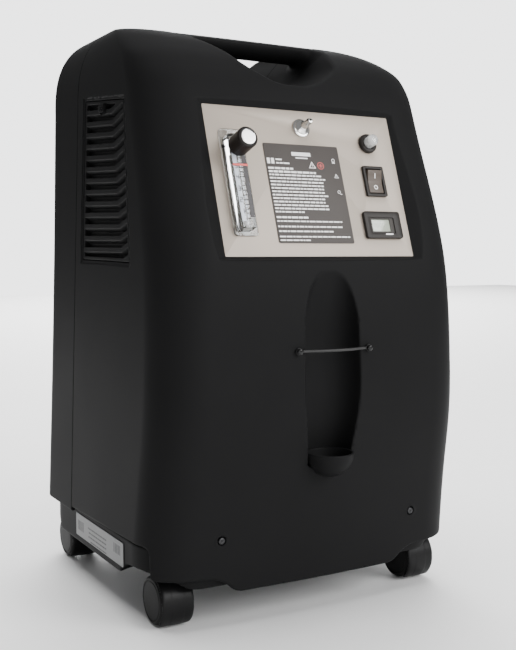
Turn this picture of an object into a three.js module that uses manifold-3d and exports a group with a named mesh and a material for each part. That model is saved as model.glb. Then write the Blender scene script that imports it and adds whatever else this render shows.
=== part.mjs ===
// Stationary oxygen concentrator: a moulded two-part casing on four twin-wheel casters, with a sloping
// control panel, a bottle holder in front, a removable air filter grille and the gas plant inside.
// Millimetres, +Z up, the front faces -Y. The origin is at the middle of the box, on the floor.
import * as THREE from 'three';
import { mergeVertices } from 'three/addons/utils/BufferGeometryUtils.js';
import Module from 'manifold-3d';

const wasm = await Module();
wasm.setup();

// ---------------------------------------------------------------- driving dimensions
const CENTRE_SHIFT_Y = 5.84; // puts the bottle cup and the power inlet equally far from the origin
const WALL = 3.5; // moulded wall
const GAP = 0.3; // running and seating gap between pieces
const REF = { halfWidth: 180, front: -178, rear: 181, corner: 50, rearCorner: 42, bulge: 5 };
const PARTING_Y = 70; // joint between the front and the rear shell
const SHELL_BOTTOM = 34;
const SIDE_HEM = { rearZ: 75, frontZ: 83, frontY: -129 };

// Half-width, front line and rear line of the casing at each height
const SIDE_TAPER = 0.0318;
const SHOULDER = { z: 515, flat: 110, rise: 86, power: 2.4 };
const REAR_EDGE = { z: 540, flat: 130, rise: 62, power: 2.2 };
const FRONT_Z = [20, 88, 140, 178, 216, 265, 314, 351, 508, 527, 540, 550, 560, 568, 577, 585, 592, 597, 600];
const FRONT_Y = [-153, -160.5, -168, -174.5, -178, -177.5, -173.5, -167.5, -113.5, -106.5, -99, -91, -77, -62,
  -42, -20, 5, 45, 100];

// Control panel: a flat plate leaning back, measured from the middle of its lower edge
const PANEL = { y: -160.7, z: 355, lean: 18.58, halfWidth: 109.2, height: 153.8, thick: 2 };
const LABEL = { x0: -49, x1: 38, z0: 13.5, z1: 116.5, thick: 0.5 };
const FLOW = { x: -86, flangeX0: -96.5, flangeX1: -71, z0: 20, z1: 128, front: -14, bore: 3.4 };
const FLOAT = { y: -8, z: 30, r: 3 };
const KNOB = { z: 104.5, r: 10.5, y0: -36.5, y1: -14.6 };
const OUTLET = { x: -1.2, z: 134.7 };
const BREAKER = { x: 77, z: 122, buttonR: 6 };
const SWITCH = { x: 76.75, z: 80.35, halfX: 12.75, halfZ: 16.35, tilt: 8 };
const METER = { x: 76, z: 32.65, halfX: 22.5, halfZ: 14.35 };

// Bottle holder, strap and front screws
const CUP = { y: -171, z: 164, r: 24, wall: 2.6, floor: 149 };
const PEG = { x: 40.4, z: 265.6, y: -176.4, r: 4 };
const SCREW = { x: 111.7, z: 88, y: -157.2 };

// Bottle recess, as rows of height, half-width, depth from the section's widest line, and that line's y
const RECESS = [[146, 22, 24, -171], [164, 25, 25, -171], [216, 31, 25, -175], [265, 31, 25, -175],
  [300, 29.5, 24, -178], [325, 23.5, 20, -182], [342.5, 18, 15, -186]];
const RECESS_POWER = 2.8; // how square the section is

// Handle channel across the top: height of its floor at each distance from the middle
const CHANNEL = [[0, 527], [15, 527.5], [40, 538], [57, 550], [68, 566], [84, 585], [92, 594], [98, 602]];
const GRIP = { y: -2, z: 581.5, halfY: 20, halfZ: 15.5 };

// Air filter opening in the left side, as corners (y, z)
const VENT = [[50, 519], [-58, 508], [-81, 349], [50, 351]];

const GRILLE = { outer: 1.5, inner: 7.5, edge: 0.6 };
const LOUVRE = { count: 13, z0: 358, pitch: 10.8, height: 5.6, front: -74, rake: 1.6, rear: 44 };
const LATCH = { y: -1, z0: 501, z1: 509, x0: -168.6, x1: -163.8, halfLength: 7.5 };

// Rear shell: exhaust slots, mains inlet and the screws that hold the shell
const EXHAUST = { halfWidth: 60, z: 110, pitch: 13, height: 6, count: 9 };
const INLET = { x: -105, z: 128, halfX: 23, halfZ: 13.5, flangeX: 29, flangeZ: 17, depth: 24 };
const REAR_SCREWS = [[-140, 100], [140, 100], [-140, 470], [140, 470]];

// Casters: swivel axes, wheel size, the distance from the swivel axis to the axle, the hood's arc in degrees
const CASTER = { x: 146, frontY: -95, rearY: 158, trail: 12, r: 24, halfWidth: 17, web: 5.8, boltR: 5 };
const HOOD = { thick: 2.2, clearance: 1, from: 78, to: 232, hubR: 8, swivelR: 9, swivelZ0: 38, swivelZ1: 54 };
const WHEEL_BAY_R = 46;
const BASE = { halfWidth: 176, front: -146, rear: 172, z0: 40, z1: 80, bayZ: 58, corner: 56, wall: 4 };
const ARCH = [[92, 0], [94, 34], [109, 50], [220, 52.5], [220, 0]]; // cut over each front caster, as (x, z)

// Gas plant
const TANK_SEAT = BASE.z1 + GAP; // the tanks stand on the caster blocks
const FAN = { x: 0, y: 92, z0: 232, z1: 262, r: 54, hubR: 19, blades: 7 };
const MOTOR = { y: 95, z: 150, halfX: 58, r: 50 };

// ---------------------------------------------------------------- solids
function solid(geometry) {
  const g = geometry.clone();
  g.deleteAttribute('normal');
  g.deleteAttribute('uv');
  const merged = mergeVertices(g, 1e-4);
  return new wasm.Manifold(new wasm.Mesh({
    numProp: 3,
    vertProperties: new Float32Array(merged.attributes.position.array),
    triVerts: new Uint32Array(merged.index.array),
  }));
}

function geometryOf(manifold) {
  const mesh = manifold.getMesh();
  const g = new THREE.BufferGeometry();
  g.setAttribute('position', new THREE.BufferAttribute(new Float32Array(mesh.vertProperties), 3));
  g.setIndex(new THREE.BufferAttribute(new Uint32Array(mesh.triVerts), 1));
  g.computeVertexNormals();
  return g;
}

function box(x0, x1, y0, y1, z0, z1) {
  const g = new THREE.BoxGeometry(x1 - x0, y1 - y0, z1 - z0);
  g.translate((x0 + x1) / 2, (y0 + y1) / 2, (z0 + z1) / 2);
  return solid(g);
}

function shapeOf(points) {
  return new THREE.Shape(points.map(([a, b]) => new THREE.Vector2(a, b)));
}

function extruded(shape, depth, segments = 6) {
  return new THREE.ExtrudeGeometry(shape, { depth, bevelEnabled: false, curveSegments: segments });
}

// A shape drawn in (x, y), raised from z0 to z1
function prismZ(shape, z0, z1, segments) {
  return solid(extruded(shape, z1 - z0, segments).translate(0, 0, z0));
}

// A shape drawn in (x, z), running from y0 to y1
function prismY(shape, y0, y1, segments) {
  return solid(extruded(shape, y1 - y0, segments).rotateX(Math.PI / 2).translate(0, y1, 0));
}

// A shape drawn in (y, z), running from x0 to x1
function prismX(shape, x0, x1, segments) {
  const turn = new THREE.Matrix4().makeBasis(
    new THREE.Vector3(0, 1, 0), new THREE.Vector3(0, 0, 1), new THREE.Vector3(1, 0, 0));
  return solid(extruded(shape, x1 - x0, segments).applyMatrix4(turn).translate(x0, 0, 0));
}

function cylinderZ(x, y, z0, z1, r, segments = 16) {
  const g = new THREE.CylinderGeometry(r, r, z1 - z0, segments).rotateX(Math.PI / 2);
  return solid(g.translate(x, y, (z0 + z1) / 2));
}

function cylinderY(x, z, y0, y1, r, segments = 16) {
  return solid(new THREE.CylinderGeometry(r, r, y1 - y0, segments).translate(x, (y0 + y1) / 2, z));
}

function cylinderX(y, z, x0, x1, r, segments = 16) {
  const g = new THREE.CylinderGeometry(r, r, x1 - x0, segments).rotateZ(Math.PI / 2);
  return solid(g.translate((x0 + x1) / 2, y, z));
}

// A turned piece about Z from [radius, height] points, which start and end on the axis
function turned(points, segments = 16) {
  return solid(new THREE.LatheGeometry(points.map(([r, z]) => new THREE.Vector2(r, z)), segments)
    .rotateX(Math.PI / 2));
}

function roundedRect(x0, x1, y0, y1, r) {
  const s = new THREE.Shape();
  s.moveTo(x0 + r, y0);
  s.lineTo(x1 - r, y0);
  s.absarc(x1 - r, y0 + r, r, -Math.PI / 2, 0, false);
  s.lineTo(x1, y1 - r);
  s.absarc(x1 - r, y1 - r, r, 0, Math.PI / 2, false);
  s.lineTo(x0 + r, y1);
  s.absarc(x0 + r, y1 - r, r, Math.PI / 2, Math.PI, false);
  s.lineTo(x0, y0 + r);
  s.absarc(x0 + r, y0 + r, r, Math.PI, Math.PI * 1.5, false);
  return s;
}

function tube(points, r, sides = 8) {
  const section = new THREE.Shape();
  section.absarc(0, 0, r, 0, Math.PI * 2, false);
  const path = new THREE.CatmullRomCurve3(points.map((p) => new THREE.Vector3(...p)));
  const steps = Math.min(40, Math.max(8, Math.round(path.getLength() / (r * 5.5))));
  return solid(new THREE.ExtrudeGeometry(section, { steps, extrudePath: path, curveSegments: sides }));
}

// ---------------------------------------------------------------- casing form
const frontLine = new THREE.CubicInterpolant(FRONT_Z, FRONT_Y, 1);

function superellipse(t, power) {
  return Math.pow(Math.max(0, 1 - Math.pow(t, power)), 1 / power);
}

function halfWidthAt(z) {
  const straight = 182.2 - SIDE_TAPER * (Math.min(z, SHOULDER.z) - 40);
  if (z <= SHOULDER.z) return straight;
  const t = (z - SHOULDER.z) / SHOULDER.rise;
  return SHOULDER.flat + (straight - SHOULDER.flat) * superellipse(t, SHOULDER.power);
}

function rearAt(z) {
  const straight = REF.rear - 0.01 * (Math.min(z, REAR_EDGE.z) - 60);
  if (z <= REAR_EDGE.z) return Math.min(straight, REF.rear);
  const t = (z - REAR_EDGE.z) / REAR_EDGE.rise;
  return REAR_EDGE.flat + (straight - REAR_EDGE.flat) * superellipse(t, REAR_EDGE.power);
}

function frontAt(z) {
  return frontLine.evaluate(z)[0];
}

// Plan outline at the reference size: a bulged front, round corners and a nearly flat back
function planShape() {
  const { halfWidth: w, front: f, rear: r, corner: c, rearCorner: k, bulge: b } = REF;
  const s = new THREE.Shape();
  s.moveTo(-w + c, f + b);
  s.quadraticCurveTo(0, f - b, w - c, f + b);
  s.bezierCurveTo(w - c * 0.42, f + b + 3, w, f + c * 0.5, w, f + c + b);
  s.lineTo(w, r - k);
  s.bezierCurveTo(w, r - k * 0.45, w - k * 0.45, r, w - k, r);
  s.lineTo(-w + k, r);
  s.bezierCurveTo(-w + k * 0.45, r, -w, r - k * 0.45, -w, r - k);
  s.lineTo(-w, f + c + b);
  s.bezierCurveTo(-w, f + c * 0.5, -w + c * 0.42, f + b + 3, -w + c, f + b);
  return s;
}

// The casing's form, shrunk by an inset on every side but the bottom
function casingForm(inset) {
  const levels = FRONT_Z;
  const steps = levels.length - 1;
  const settings = { depth: 1, steps, bevelEnabled: false, curveSegments: 5 };
  const g = new THREE.ExtrudeGeometry(planShape(), settings);
  const p = g.attributes.position;
  for (let i = 0; i < p.count; i += 1) {
    const z = levels[Math.round(p.getZ(i) * steps)];
    const w = halfWidthAt(z) - inset;
    const front = frontAt(z) + inset;
    const rear = rearAt(z) - inset;
    const across = (p.getY(i) - REF.front) / (REF.rear - REF.front);
    const drop = inset * Math.min(1, Math.max(0, (z - 480) / 100));
    p.setXYZ(i, (p.getX(i) / REF.halfWidth) * w, front + across * (rear - front), z - drop);
  }
  return solid(g);
}

const outerForm = casingForm(0);
const innerForm = casingForm(WALL);

// Everything above the handle channel's floor, lowered by an optional drop
function channelSpace(drop) {
  const right = CHANNEL.map(([x, z]) => new THREE.Vector2(x, z - drop));
  const left = CHANNEL.slice(1).reverse().map(([x, z]) => new THREE.Vector2(-x, z - drop));
  const curve = new THREE.SplineCurve([...left, ...right]);
  const points = curve.getPoints(22);
  const s = new THREE.Shape([new THREE.Vector2(-130, 660), ...points, new THREE.Vector2(130, 660)]);
  return prismY(s, -260, 260);
}

const channel = channelSpace(0);

// Panel frame: local x across, local y into the machine, local z up the slope
const panelMatrix = new THREE.Matrix4().makeRotationX(THREE.MathUtils.degToRad(-PANEL.lean))
  .setPosition(0, PANEL.y, PANEL.z);

function onPanel(manifold) {
  return solid(geometryOf(manifold).applyMatrix4(panelMatrix));
}

// A closed outline with softly squared corners, of half-sizes 1 by 1
function squaredOutline(power, count) {
  const points = [];
  for (let i = 0; i < count; i += 1) {
    const a = (i / count) * Math.PI * 2;
    const x = Math.sign(Math.cos(a)) * Math.abs(Math.cos(a)) ** (2 / power);
    const y = Math.sign(Math.sin(a)) * Math.abs(Math.sin(a)) ** (2 / power);
    points.push([x, y]);
  }
  return shapeOf(points);
}

// Bottle recess: a flute with a flat back that runs out of the face at its top
function recessSpace(grow) {
  const steps = RECESS.length - 1;
  const outline = squaredOutline(RECESS_POWER, 24);
  const g = new THREE.ExtrudeGeometry(outline, { depth: 1, steps, bevelEnabled: false });
  const p = g.attributes.position;
  for (let i = 0; i < p.count; i += 1) {
    const k = Math.round(p.getZ(i) * steps);
    const [z, halfX, depth, y] = RECESS[k];
    let end = 0;
    if (k === 0) end = -grow;
    if (k === steps) end = grow;
    p.setXYZ(i, p.getX(i) * (halfX + grow), y + p.getY(i) * (depth + grow), z + end);
  }
  return solid(g);
}

// ---------------------------------------------------------------- casing pieces
function ventPrism(margin, x0, x1) {
  const [a, b, c, d] = VENT;
  return prismX(shapeOf([
    [a[0] - margin, a[1] - margin], [b[0] + margin, b[1] - margin],
    [c[0] + margin, c[1] + margin], [d[0] - margin, d[1] + margin],
  ]), x0, x1);
}

function casingShell() {
  let shell = outerForm.subtract(innerForm);
  shell = shell.add(outerForm.intersect(channelSpace(WALL).subtract(channel)));
  return shell.subtract(channel);
}

function frontShell() {
  const { halfWidth: w, height: h, thick: t } = PANEL;
  let shell = casingShell();
  shell = shell.add(outerForm.intersect(onPanel(box(-w - 6, w + 6, -14, 7, -7, h + 6))));
  shell = shell.subtract(onPanel(box(-w - 0.4, w + 0.4, -20, t + GAP, -0.4, h + 0.4)));
  shell = shell.subtract(onPanel(box(-w + 5, w - 5, -20, 30, 5, h - 5)));
  shell = shell.add(outerForm.intersect(recessSpace(WALL)));
  for (const side of [-1, 1]) {
    const boss = cylinderY(side * SCREW.x, SCREW.z, -170, -136, 7, 16);
    shell = shell.add(outerForm.intersect(boss));
    shell = shell.subtract(cylinderY(side * SCREW.x, SCREW.z, -180, -153.5, 4.2, 16));
    shell = shell.subtract(cylinderY(side * SCREW.x, SCREW.z, -160, -130, 2.4, 12));
    shell = shell.subtract(cylinderY(side * PEG.x, PEG.z, -190, -160, 2.3, 12));
  }
  shell = shell.subtract(recessSpace(0));
  const ball = solid(new THREE.SphereGeometry(CUP.r + 1, 20, 12).translate(0, CUP.y, CUP.z));
  shell = shell.subtract(ball);
  shell = shell.subtract(ventPrism(0, -200, -120));
  shell = shell.subtract(box(-250, 250, PARTING_Y, 300, 0, 700));
  shell = shell.subtract(box(-250, 250, -300, 300, 0, SHELL_BOTTOM));
  for (const side of [-1, 1]) {
    shell = shell.subtract(prismY(shapeOf(ARCH.map(([x, z]) => [side * x, z])), -260, -60));
  }
  const { rearZ, frontZ, frontY } = SIDE_HEM;
  const hem = shapeOf([[frontY + 4, 0], [frontY, frontZ], [260, rearZ - 2], [260, 0]]);
  return shell.subtract(prismX(hem, -250, 250));
}

function rearShell() {
  let shell = casingShell();
  shell = shell.subtract(box(-250, 250, -300, PARTING_Y + GAP, 0, 700));
  shell = shell.subtract(box(-250, 250, -300, 170, 0, 73.5));
  shell = shell.subtract(box(-250, 250, -300, 300, 0, 62));
  for (let i = 0; i < EXHAUST.count; i += 1) {
    const z = EXHAUST.z + i * EXHAUST.pitch;
    shell = shell.subtract(box(-EXHAUST.halfWidth, EXHAUST.halfWidth, 160, 200, z, z + EXHAUST.height));
  }
  const holeX = INLET.halfX + 0.5;
  const holeZ = INLET.halfZ + 0.5;
  shell = shell.subtract(box(INLET.x - holeX, INLET.x + holeX, 160, 200, INLET.z - holeZ, INLET.z + holeZ));
  for (const [x, z] of REAR_SCREWS) shell = shell.subtract(cylinderY(x, z, 160, 200, 2.4, 12));
  return shell;
}

function basePan() {
  const { halfWidth: w, front, rear, z0, z1, bayZ, corner, wall: t } = BASE;
  const outline = prismZ(roundedRect(-w, w, front, rear, corner), z0, z1);
  const inside = roundedRect(-w + t, w - t, front + t, rear - t, corner - t);
  let pan = outline.subtract(prismZ(inside, z0 + t, z1 + 5));
  for (const sx of [-1, 1]) {
    for (const y of [CASTER.frontY, CASTER.rearY]) {
      const x = sx * CASTER.x;
      pan = pan.add(outline.intersect(cylinderZ(x, y, z0, z1, WHEEL_BAY_R + t, 24)));
      pan = pan.subtract(cylinderZ(x, y, z0 - 20, bayZ, WHEEL_BAY_R, 24));
      pan = pan.subtract(cylinderZ(x, y, z0, z1 - 3, CASTER.boltR + GAP, 12));
    }
  }
  return pan;
}

function handleGrip() {
  const oval = new THREE.Shape();
  oval.absellipse(GRIP.y, GRIP.z, GRIP.halfY, GRIP.halfZ, 0, Math.PI * 2, false, 0);
  const bar = prismX(oval, -110, 110, 12);
  return bar.intersect(channelSpace(-2 * GAP)).intersect(casingForm(0.5));
}

// The grille follows the casing's side, a little below its surface, with a slot between each pair of slats
function filterGrille() {
  const { outer, inner, edge } = GRILLE;
  const { count, z0: lowest, pitch, height, front, rake, rear } = LOUVRE;
  let grille = casingForm(outer).subtract(casingForm(inner)).intersect(ventPrism(edge, -200, -120));
  for (let i = 0; i < count; i += 1) {
    const z = lowest + i * pitch;
    grille = grille.subtract(box(-200, -100, front + i * rake, rear, z, z + height));
  }
  const { y, z0, z1, x1, halfLength } = LATCH;
  const half = halfLength + 1;
  return grille.subtract(box(-175, x1 + 0.4, y - half, y + half, z0 - 4.5, z1 + 0.5));
}

function grilleLatch() {
  const { y, z0, z1, x0, x1, halfLength: half } = LATCH;
  const tab = box(x0, x1, y - half, y + half, z0, z1);
  return tab.subtract(box(x0 - 2, x0 + 1.6, y - half + 2.5, y + half - 2.5, z0 + 2, z1 - 2.5));
}

// ---------------------------------------------------------------- bottle holder
// A half-round cup with a flat floor, standing half out of the casing
function bottleCup() {
  const { r, wall, z, y, floor } = CUP;
  const steps = 7;
  const inner = r - wall;
  const depth = z - floor;
  const profile = [[0, -r]];
  for (let i = 1; i <= steps; i += 1) {
    const a = (i / steps) * (Math.PI / 2);
    profile.push([r * Math.sin(a), -r * Math.cos(a)]);
  }
  profile.push([inner, 0]);
  profile.push([inner - 0.6, -depth * 0.5]);
  profile.push([inner - 4, -depth]);
  profile.push([0, -depth]);
  return turned(profile, 24).translate([0, y, z]);
}

function retainingStrap() {
  const { x, y, z } = PEG;
  const section = shapeOf([[-2.6, -1], [2.6, -1], [2.6, 1], [-2.6, 1]]);
  const end = x - 3.6;
  const bow = [[-end, y - 2.8], [-28, y - 5.2], [-15, y - 8.5], [0, y - 9.6], [15, y - 8.5], [28, y - 5.2],
    [end, y - 2.8]];
  const path = new THREE.CatmullRomCurve3(bow.map(([a, b]) => new THREE.Vector3(a, b, z)));
  const band = new THREE.ExtrudeGeometry(section, { steps: 16, extrudePath: path, bevelEnabled: false });
  let strap = solid(band);
  for (const side of [-1, 1]) strap = strap.add(cylinderY(side * x, z, y - 3.8, y - 1.8, 4.8));
  for (const side of [-1, 1]) strap = strap.subtract(cylinderY(side * x, z, y - 10, y + 10, 2.3, 12));
  return strap;
}

function strapPeg(side) {
  const head = cylinderY(side * PEG.x, PEG.z, PEG.y - 7.4, PEG.y - 4.4, PEG.r, 16);
  const shank = cylinderY(side * PEG.x, PEG.z, PEG.y - 5, PEG.y + 6, 1.9, 12);
  return head.add(shank);
}

function frontScrew(side) {
  const { y, z } = SCREW;
  const x = side * SCREW.x;
  const head = cylinderY(x, z, y - 0.6, -153.9, 3.7, 16);
  const shank = cylinderY(x, z, -155, -138, 2, 12);
  const slot = box(x - 2.4, x + 2.4, -159, y + 0.6, z - 0.5, z + 0.5);
  return head.add(shank).subtract(slot);
}

function rearScrew(x, z) {
  const seat = rearAt(z) + GAP;
  const head = cylinderY(x, z, seat, seat + 2, 3.7, 16);
  return head.add(cylinderY(x, z, seat - 14, seat + 1, 2, 12));
}

// ---------------------------------------------------------------- control panel pieces (panel frame)
function controlPanel() {
  const { halfWidth: w, height: h, thick: t } = PANEL;
  let plate = box(-w, w, 0, t, 0, h);
  plate = plate.subtract(box(SWITCH.x - 11.3, SWITCH.x + 11.3, -5, 5, SWITCH.z - 14.4, SWITCH.z + 14.4));
  plate = plate.subtract(box(METER.x - 19.5, METER.x + 19.5, -5, 5, METER.z - 11.5, METER.z + 11.5));
  plate = plate.subtract(cylinderY(OUTLET.x, OUTLET.z, -5, 5, 5));
  return plate.subtract(cylinderY(BREAKER.x, BREAKER.z, -5, 5, 7.6));
}

function flowmeterBody() {
  const { x, flangeX0, flangeX1, z0, z1, front, bore } = FLOW;
  const flange = prismY(roundedRect(flangeX0, flangeX1, z0, z1, 4), -2.3, -GAP, 4);
  const block = prismY(roundedRect(x - 8, x + 8, z0 + 4, z1 - 10, 2.5), front, -2, 4);
  const meter = flange.add(block).subtract(cylinderZ(x, FLOAT.y, z0 + 6.8, 98, bore, 16));
  return meter.subtract(cylinderZ(x, FLOAT.y, 90, z1, 1.4, 8));
}

function outletNipple() {
  const profile = [[0, 12], [4.6, 12], [4.6, -GAP], [9.7, -GAP], [9.7, -1.6], [7.5, -3.4], [4.2, -4.6],
    [2.8, -6], [2.8, -12], [3.3, -13], [2.6, -15.5], [3.3, -16], [2.4, -19.5], [0, -19.5]];
  const body = new THREE.LatheGeometry(profile.map(([r, y]) => new THREE.Vector2(r, -y)), 14);
  return solid(body.rotateX(Math.PI)).translate([OUTLET.x, 0, OUTLET.z])
    .subtract(cylinderY(OUTLET.x, OUTLET.z, -30, 30, 1.3, 10));
}

function breakerBezel() {
  const { x, z, buttonR } = BREAKER;
  const nut = cylinderY(x, z, -4.5, -GAP, 10.3).add(cylinderY(x, z, -2, 16, 7.2));
  return nut.subtract(cylinderY(x, z, -8, 10, buttonR + 0.4));
}

function switchBezel() {
  const { x, z, halfX, halfZ } = SWITCH;
  const frame = box(x - halfX, x + halfX, -3, -GAP, z - halfZ, z + halfZ);
  const house = box(x - 10.9, x + 10.9, -1, 22, z - 14, z + 14);
  return frame.add(house).subtract(box(x - 9.4, x + 9.4, -6, 9, z - 13.4, z + 13.4));
}

function switchRocker() {
  const profile = shapeOf([[-5.6, -12.2], [-3.4, 0], [-5.6, 12.2], [2.5, 12.2], [5, 0], [2.5, -12.2]]);
  return prismX(profile, -8.9, 8.9);
}

function hourMeterCase() {
  const { x, z, halfX, halfZ } = METER;
  const frame = box(x - halfX, x + halfX, -4, -GAP, z - halfZ, z + halfZ);
  const house = box(x - 19, x + 19, -1, 15, z - 11, z + 11);
  return frame.add(house).subtract(box(x - 13.8, x + 8.6, -6, -1, z - 7.1, z + 5.9));
}

function hourMeterDisplay() {
  return box(METER.x - 13.4, METER.x + 8.2, -2.6, -1.3, METER.z - 6.7, METER.z + 5.5);
}

// ---------------------------------------------------------------- casters (about their swivel axis)
function casterHood() {
  const { trail, r, halfWidth, web, boltR } = CASTER;
  const outer = r + HOOD.clearance + HOOD.thick;
  const start = THREE.MathUtils.degToRad(HOOD.from);
  const end = THREE.MathUtils.degToRad(HOOD.to);
  const cover = new THREE.Shape();
  cover.absarc(-trail, r, outer, start, end, false);
  cover.absarc(-trail, r, r + HOOD.clearance, end, start, true);
  const webShape = new THREE.Shape();
  webShape.absarc(-trail, r, outer, start, end, false);
  webShape.absarc(-trail, r, HOOD.hubR - 1, end, start + Math.PI * 2, false);
  let hood = prismX(cover, -halfWidth - 1, halfWidth + 1, 10);
  hood = hood.add(prismX(webShape, -web, web, 10));
  hood = hood.add(cylinderX(-trail, r, -web, web, HOOD.hubR));
  hood = hood.add(cylinderZ(0, 0, HOOD.swivelZ0, HOOD.swivelZ1, HOOD.swivelR));
  hood = hood.subtract(cylinderX(-trail, r, web, halfWidth + 6, r + 0.9, 20));
  hood = hood.subtract(cylinderX(-trail, r, -halfWidth - 6, -web, r + 0.9, 20));
  hood = hood.subtract(cylinderX(-trail, r, -20, 20, 3.3, 12));
  return hood.subtract(cylinderZ(0, 0, 44, 60, boltR + GAP, 12));
}

function casterStem() {
  const { boltR } = CASTER;
  const pin = cylinderZ(0, 0, 44.4, 76, boltR, 12);
  return pin.add(cylinderZ(0, 0, 54.4, 57.4, 8, 12));
}

// Two wheels on one axle, about the axle
function wheelPair() {
  const { r, halfWidth, web } = CASTER;
  const x0 = web + 0.5;
  let pair = cylinderX(0, 0, -halfWidth + 2, halfWidth - 2, 2.9, 12);
  for (const side of [-1, 1]) {
    const profile = [[0, x0], [r, x0], [r, halfWidth - 2], [r - 2, halfWidth], [0, halfWidth]];
    const wheel = turned(profile, 24);
    const turn = new THREE.Matrix4().makeRotationY((side * Math.PI) / 2);
    pair = pair.add(solid(geometryOf(wheel).applyMatrix4(turn)));
  }
  return pair;
}

// ---------------------------------------------------------------- gas plant
function compressorMotor() {
  const { y, z, halfX, r } = MOTOR;
  const motor = cylinderX(y, z, -halfX, halfX, r, 24);
  const feet = box(-50, 50, y - 40, y + 40, 84, 112);
  return motor.add(feet).add(cylinderX(y, z, -halfX - 8, halfX + 8, 24));
}

function compressorHead(side) {
  const { y, z } = MOTOR;
  const halfTurn = new THREE.Matrix4().makeRotationZ(Math.PI);
  let head = box(68, 112, y - 27, y + 27, 120, 205);
  for (let i = 0; i < 5; i += 1) head = head.add(box(64, 116, y - 31, y + 31, 160 + i * 9, 164 + i * 9));
  head = head.subtract(cylinderX(y, z, 60, 71, 25));
  if (side > 0) return head;
  return solid(geometryOf(head).applyMatrix4(halfTurn)).translate([0, 2 * y, 0]);
}

function mountingTray() {
  const floor = BASE.z0 + 4 + GAP;
  const tray = box(-90, 90, 45, 145, floor, 83);
  return tray.subtract(box(-86.5, 86.5, 30, 160, 30, 80)).subtract(cylinderZ(0, 95, 70, 90, 30));
}

function fanShroud() {
  const { x, y, z0, z1, r } = FAN;
  const frame = prismZ(roundedRect(x - 62, x + 62, y - 62, y + 62, 10), z0, z1, 4);
  let shroud = frame.subtract(cylinderZ(x, y, z0 - 5, z1 + 5, r + 2, 24));
  shroud = shroud.add(box(x - 60, x + 60, y - 3, y + 3, z0, z0 + 3)).add(cylinderZ(x, y, z0, z0 + 3, 20));
  return shroud;
}

function fanRotor() {
  const { x, y, z0, z1, r, hubR, blades } = FAN;
  let rotor = cylinderZ(x, y, z0 + 5, z1 - 3, hubR);
  for (let i = 0; i < blades; i += 1) {
    const blade = new THREE.BoxGeometry(r - 18, 24, 1.8).rotateX(0.6).translate((r + 16) / 2, 0, 0);
    blade.rotateZ((i / blades) * Math.PI * 2).translate(x, y, (z0 + z1) / 2 + 1);
    rotor = rotor.add(solid(blade));
  }
  return rotor;
}

function tank(x, y, z0, z1, r) {
  const h = z1 - z0;
  const profile = [[0, 0], [r - 6, 0], [r, 6], [r, h - 8], [r - 10, h - 2], [6, h - 2], [6, h], [0, h]];
  return turned(profile, 20).translate([x, y, z0]);
}

function valveManifold() {
  let block = box(-95, 95, -105, -65, 334, 356);
  for (const x of [-70, -25, 25, 70]) block = block.add(cylinderZ(x, -85, 350, 384, 11, 12));
  return block.add(box(-78, -62, -112, -60, 342, 350)).add(box(62, 78, -112, -60, 342, 350));
}

function intakeFilter() {
  const drum = cylinderX(-14, 430, -140, -96, 38, 20);
  return drum.add(cylinderX(-14, 430, -100, -78, 12));
}

function circuitBoard() {
  const board = box(136, 138, -70, 60, 330, 480);
  const chips = box(124, 137, 10, 50, 420, 465).add(box(120, 137, -50, -20, 350, 390));
  return board.add(chips).add(cylinderX(-30, 440, 118, 137, 10, 16)).add(cylinderX(25, 370, 122, 137, 8, 16));
}

function innerDivider() {
  const sheet = box(-160, 160, -32, -29, 86, 326);
  return sheet.subtract(cylinderY(0, 210, -40, -20, 40)).subtract(cylinderY(-110, 300, -40, -20, 9));
}

function powerInlet() {
  const { x, z, halfX, halfZ, flangeX, flangeZ, depth } = INLET;
  const back = rearAt(z);
  let inlet = box(x - flangeX, x + flangeX, back + GAP, back + 3, z - flangeZ, z + flangeZ);
  inlet = inlet.add(box(x - halfX, x + halfX, back - depth, back + 1, z - halfZ, z + halfZ));
  inlet = inlet.subtract(box(x - 13, x + 13, back - 18, back + 10, z - 9, z + 9));
  for (const [dx, dz] of [[-7, -3], [0, 3], [7, -3]]) {
    inlet = inlet.add(box(x + dx - 1.2, x + dx + 1.2, back - 20, back - 2, z + dz - 2.4, z + dz + 2.4));
  }
  return inlet;
}

function feedTube() {
  const path = [[-90, 95, 205.4], [-90, 96, 225], [-94, 80, 275], [-100, 40, 325], [-100, 0, 355],
    [-97, -40, 374], [-89, -70, 376], [-88, -83, 372], [-88, -84, 359]];
  return tube(path, 5, 6);
}

function productTube() {
  const path = [[0, -112.8, 290], [0, -121, 291], [-14, -126, 310], [-40, -122, 345], [-62, -118, 395],
    [-80, -112, 430], [-86, -116, 452]];
  return tube(path, 4, 6);
}

// ---------------------------------------------------------------- materials
function finish(color, roughness, metalness = 0) {
  return new THREE.MeshStandardMaterial({ color, roughness, metalness });
}

const CASING = finish(0x1c1c1d, 0.62);
const CASING_DARK = finish(0x121213, 0.7);
const PLATE = finish(0xc3bab0, 0.45, 0.6);
const LABEL_INK = finish(0x58514d, 0.5);
const ACRYLIC = finish(0xdfe4e6, 0.1);
ACRYLIC.transparent = true;
ACRYLIC.opacity = 0.5;
const CHROME = finish(0xd8d8d6, 0.12, 1);
const STEEL = finish(0x9a9da0, 0.35, 1);
const BLACK_GLOSS = finish(0x0b0b0c, 0.25);
const BROWN_GLOSS = finish(0x3d342e, 0.3);
const RUBBER = finish(0x0e0e0e, 0.8);
const GREY_PLASTIC = finish(0x8d8f90, 0.5);
const WHITE_PLASTIC = finish(0xdedcd6, 0.4);
const LCD = finish(0x9fa393, 0.2);
const PAPER = finish(0xa7a8a8, 0.5);
const RED = finish(0xd0453c, 0.4);
const FOAM = finish(0x2a2b2d, 0.95);
const ALUMINIUM = finish(0xa9adb0, 0.45, 0.9);
const BOARD = finish(0x1e5a34, 0.5);

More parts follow.
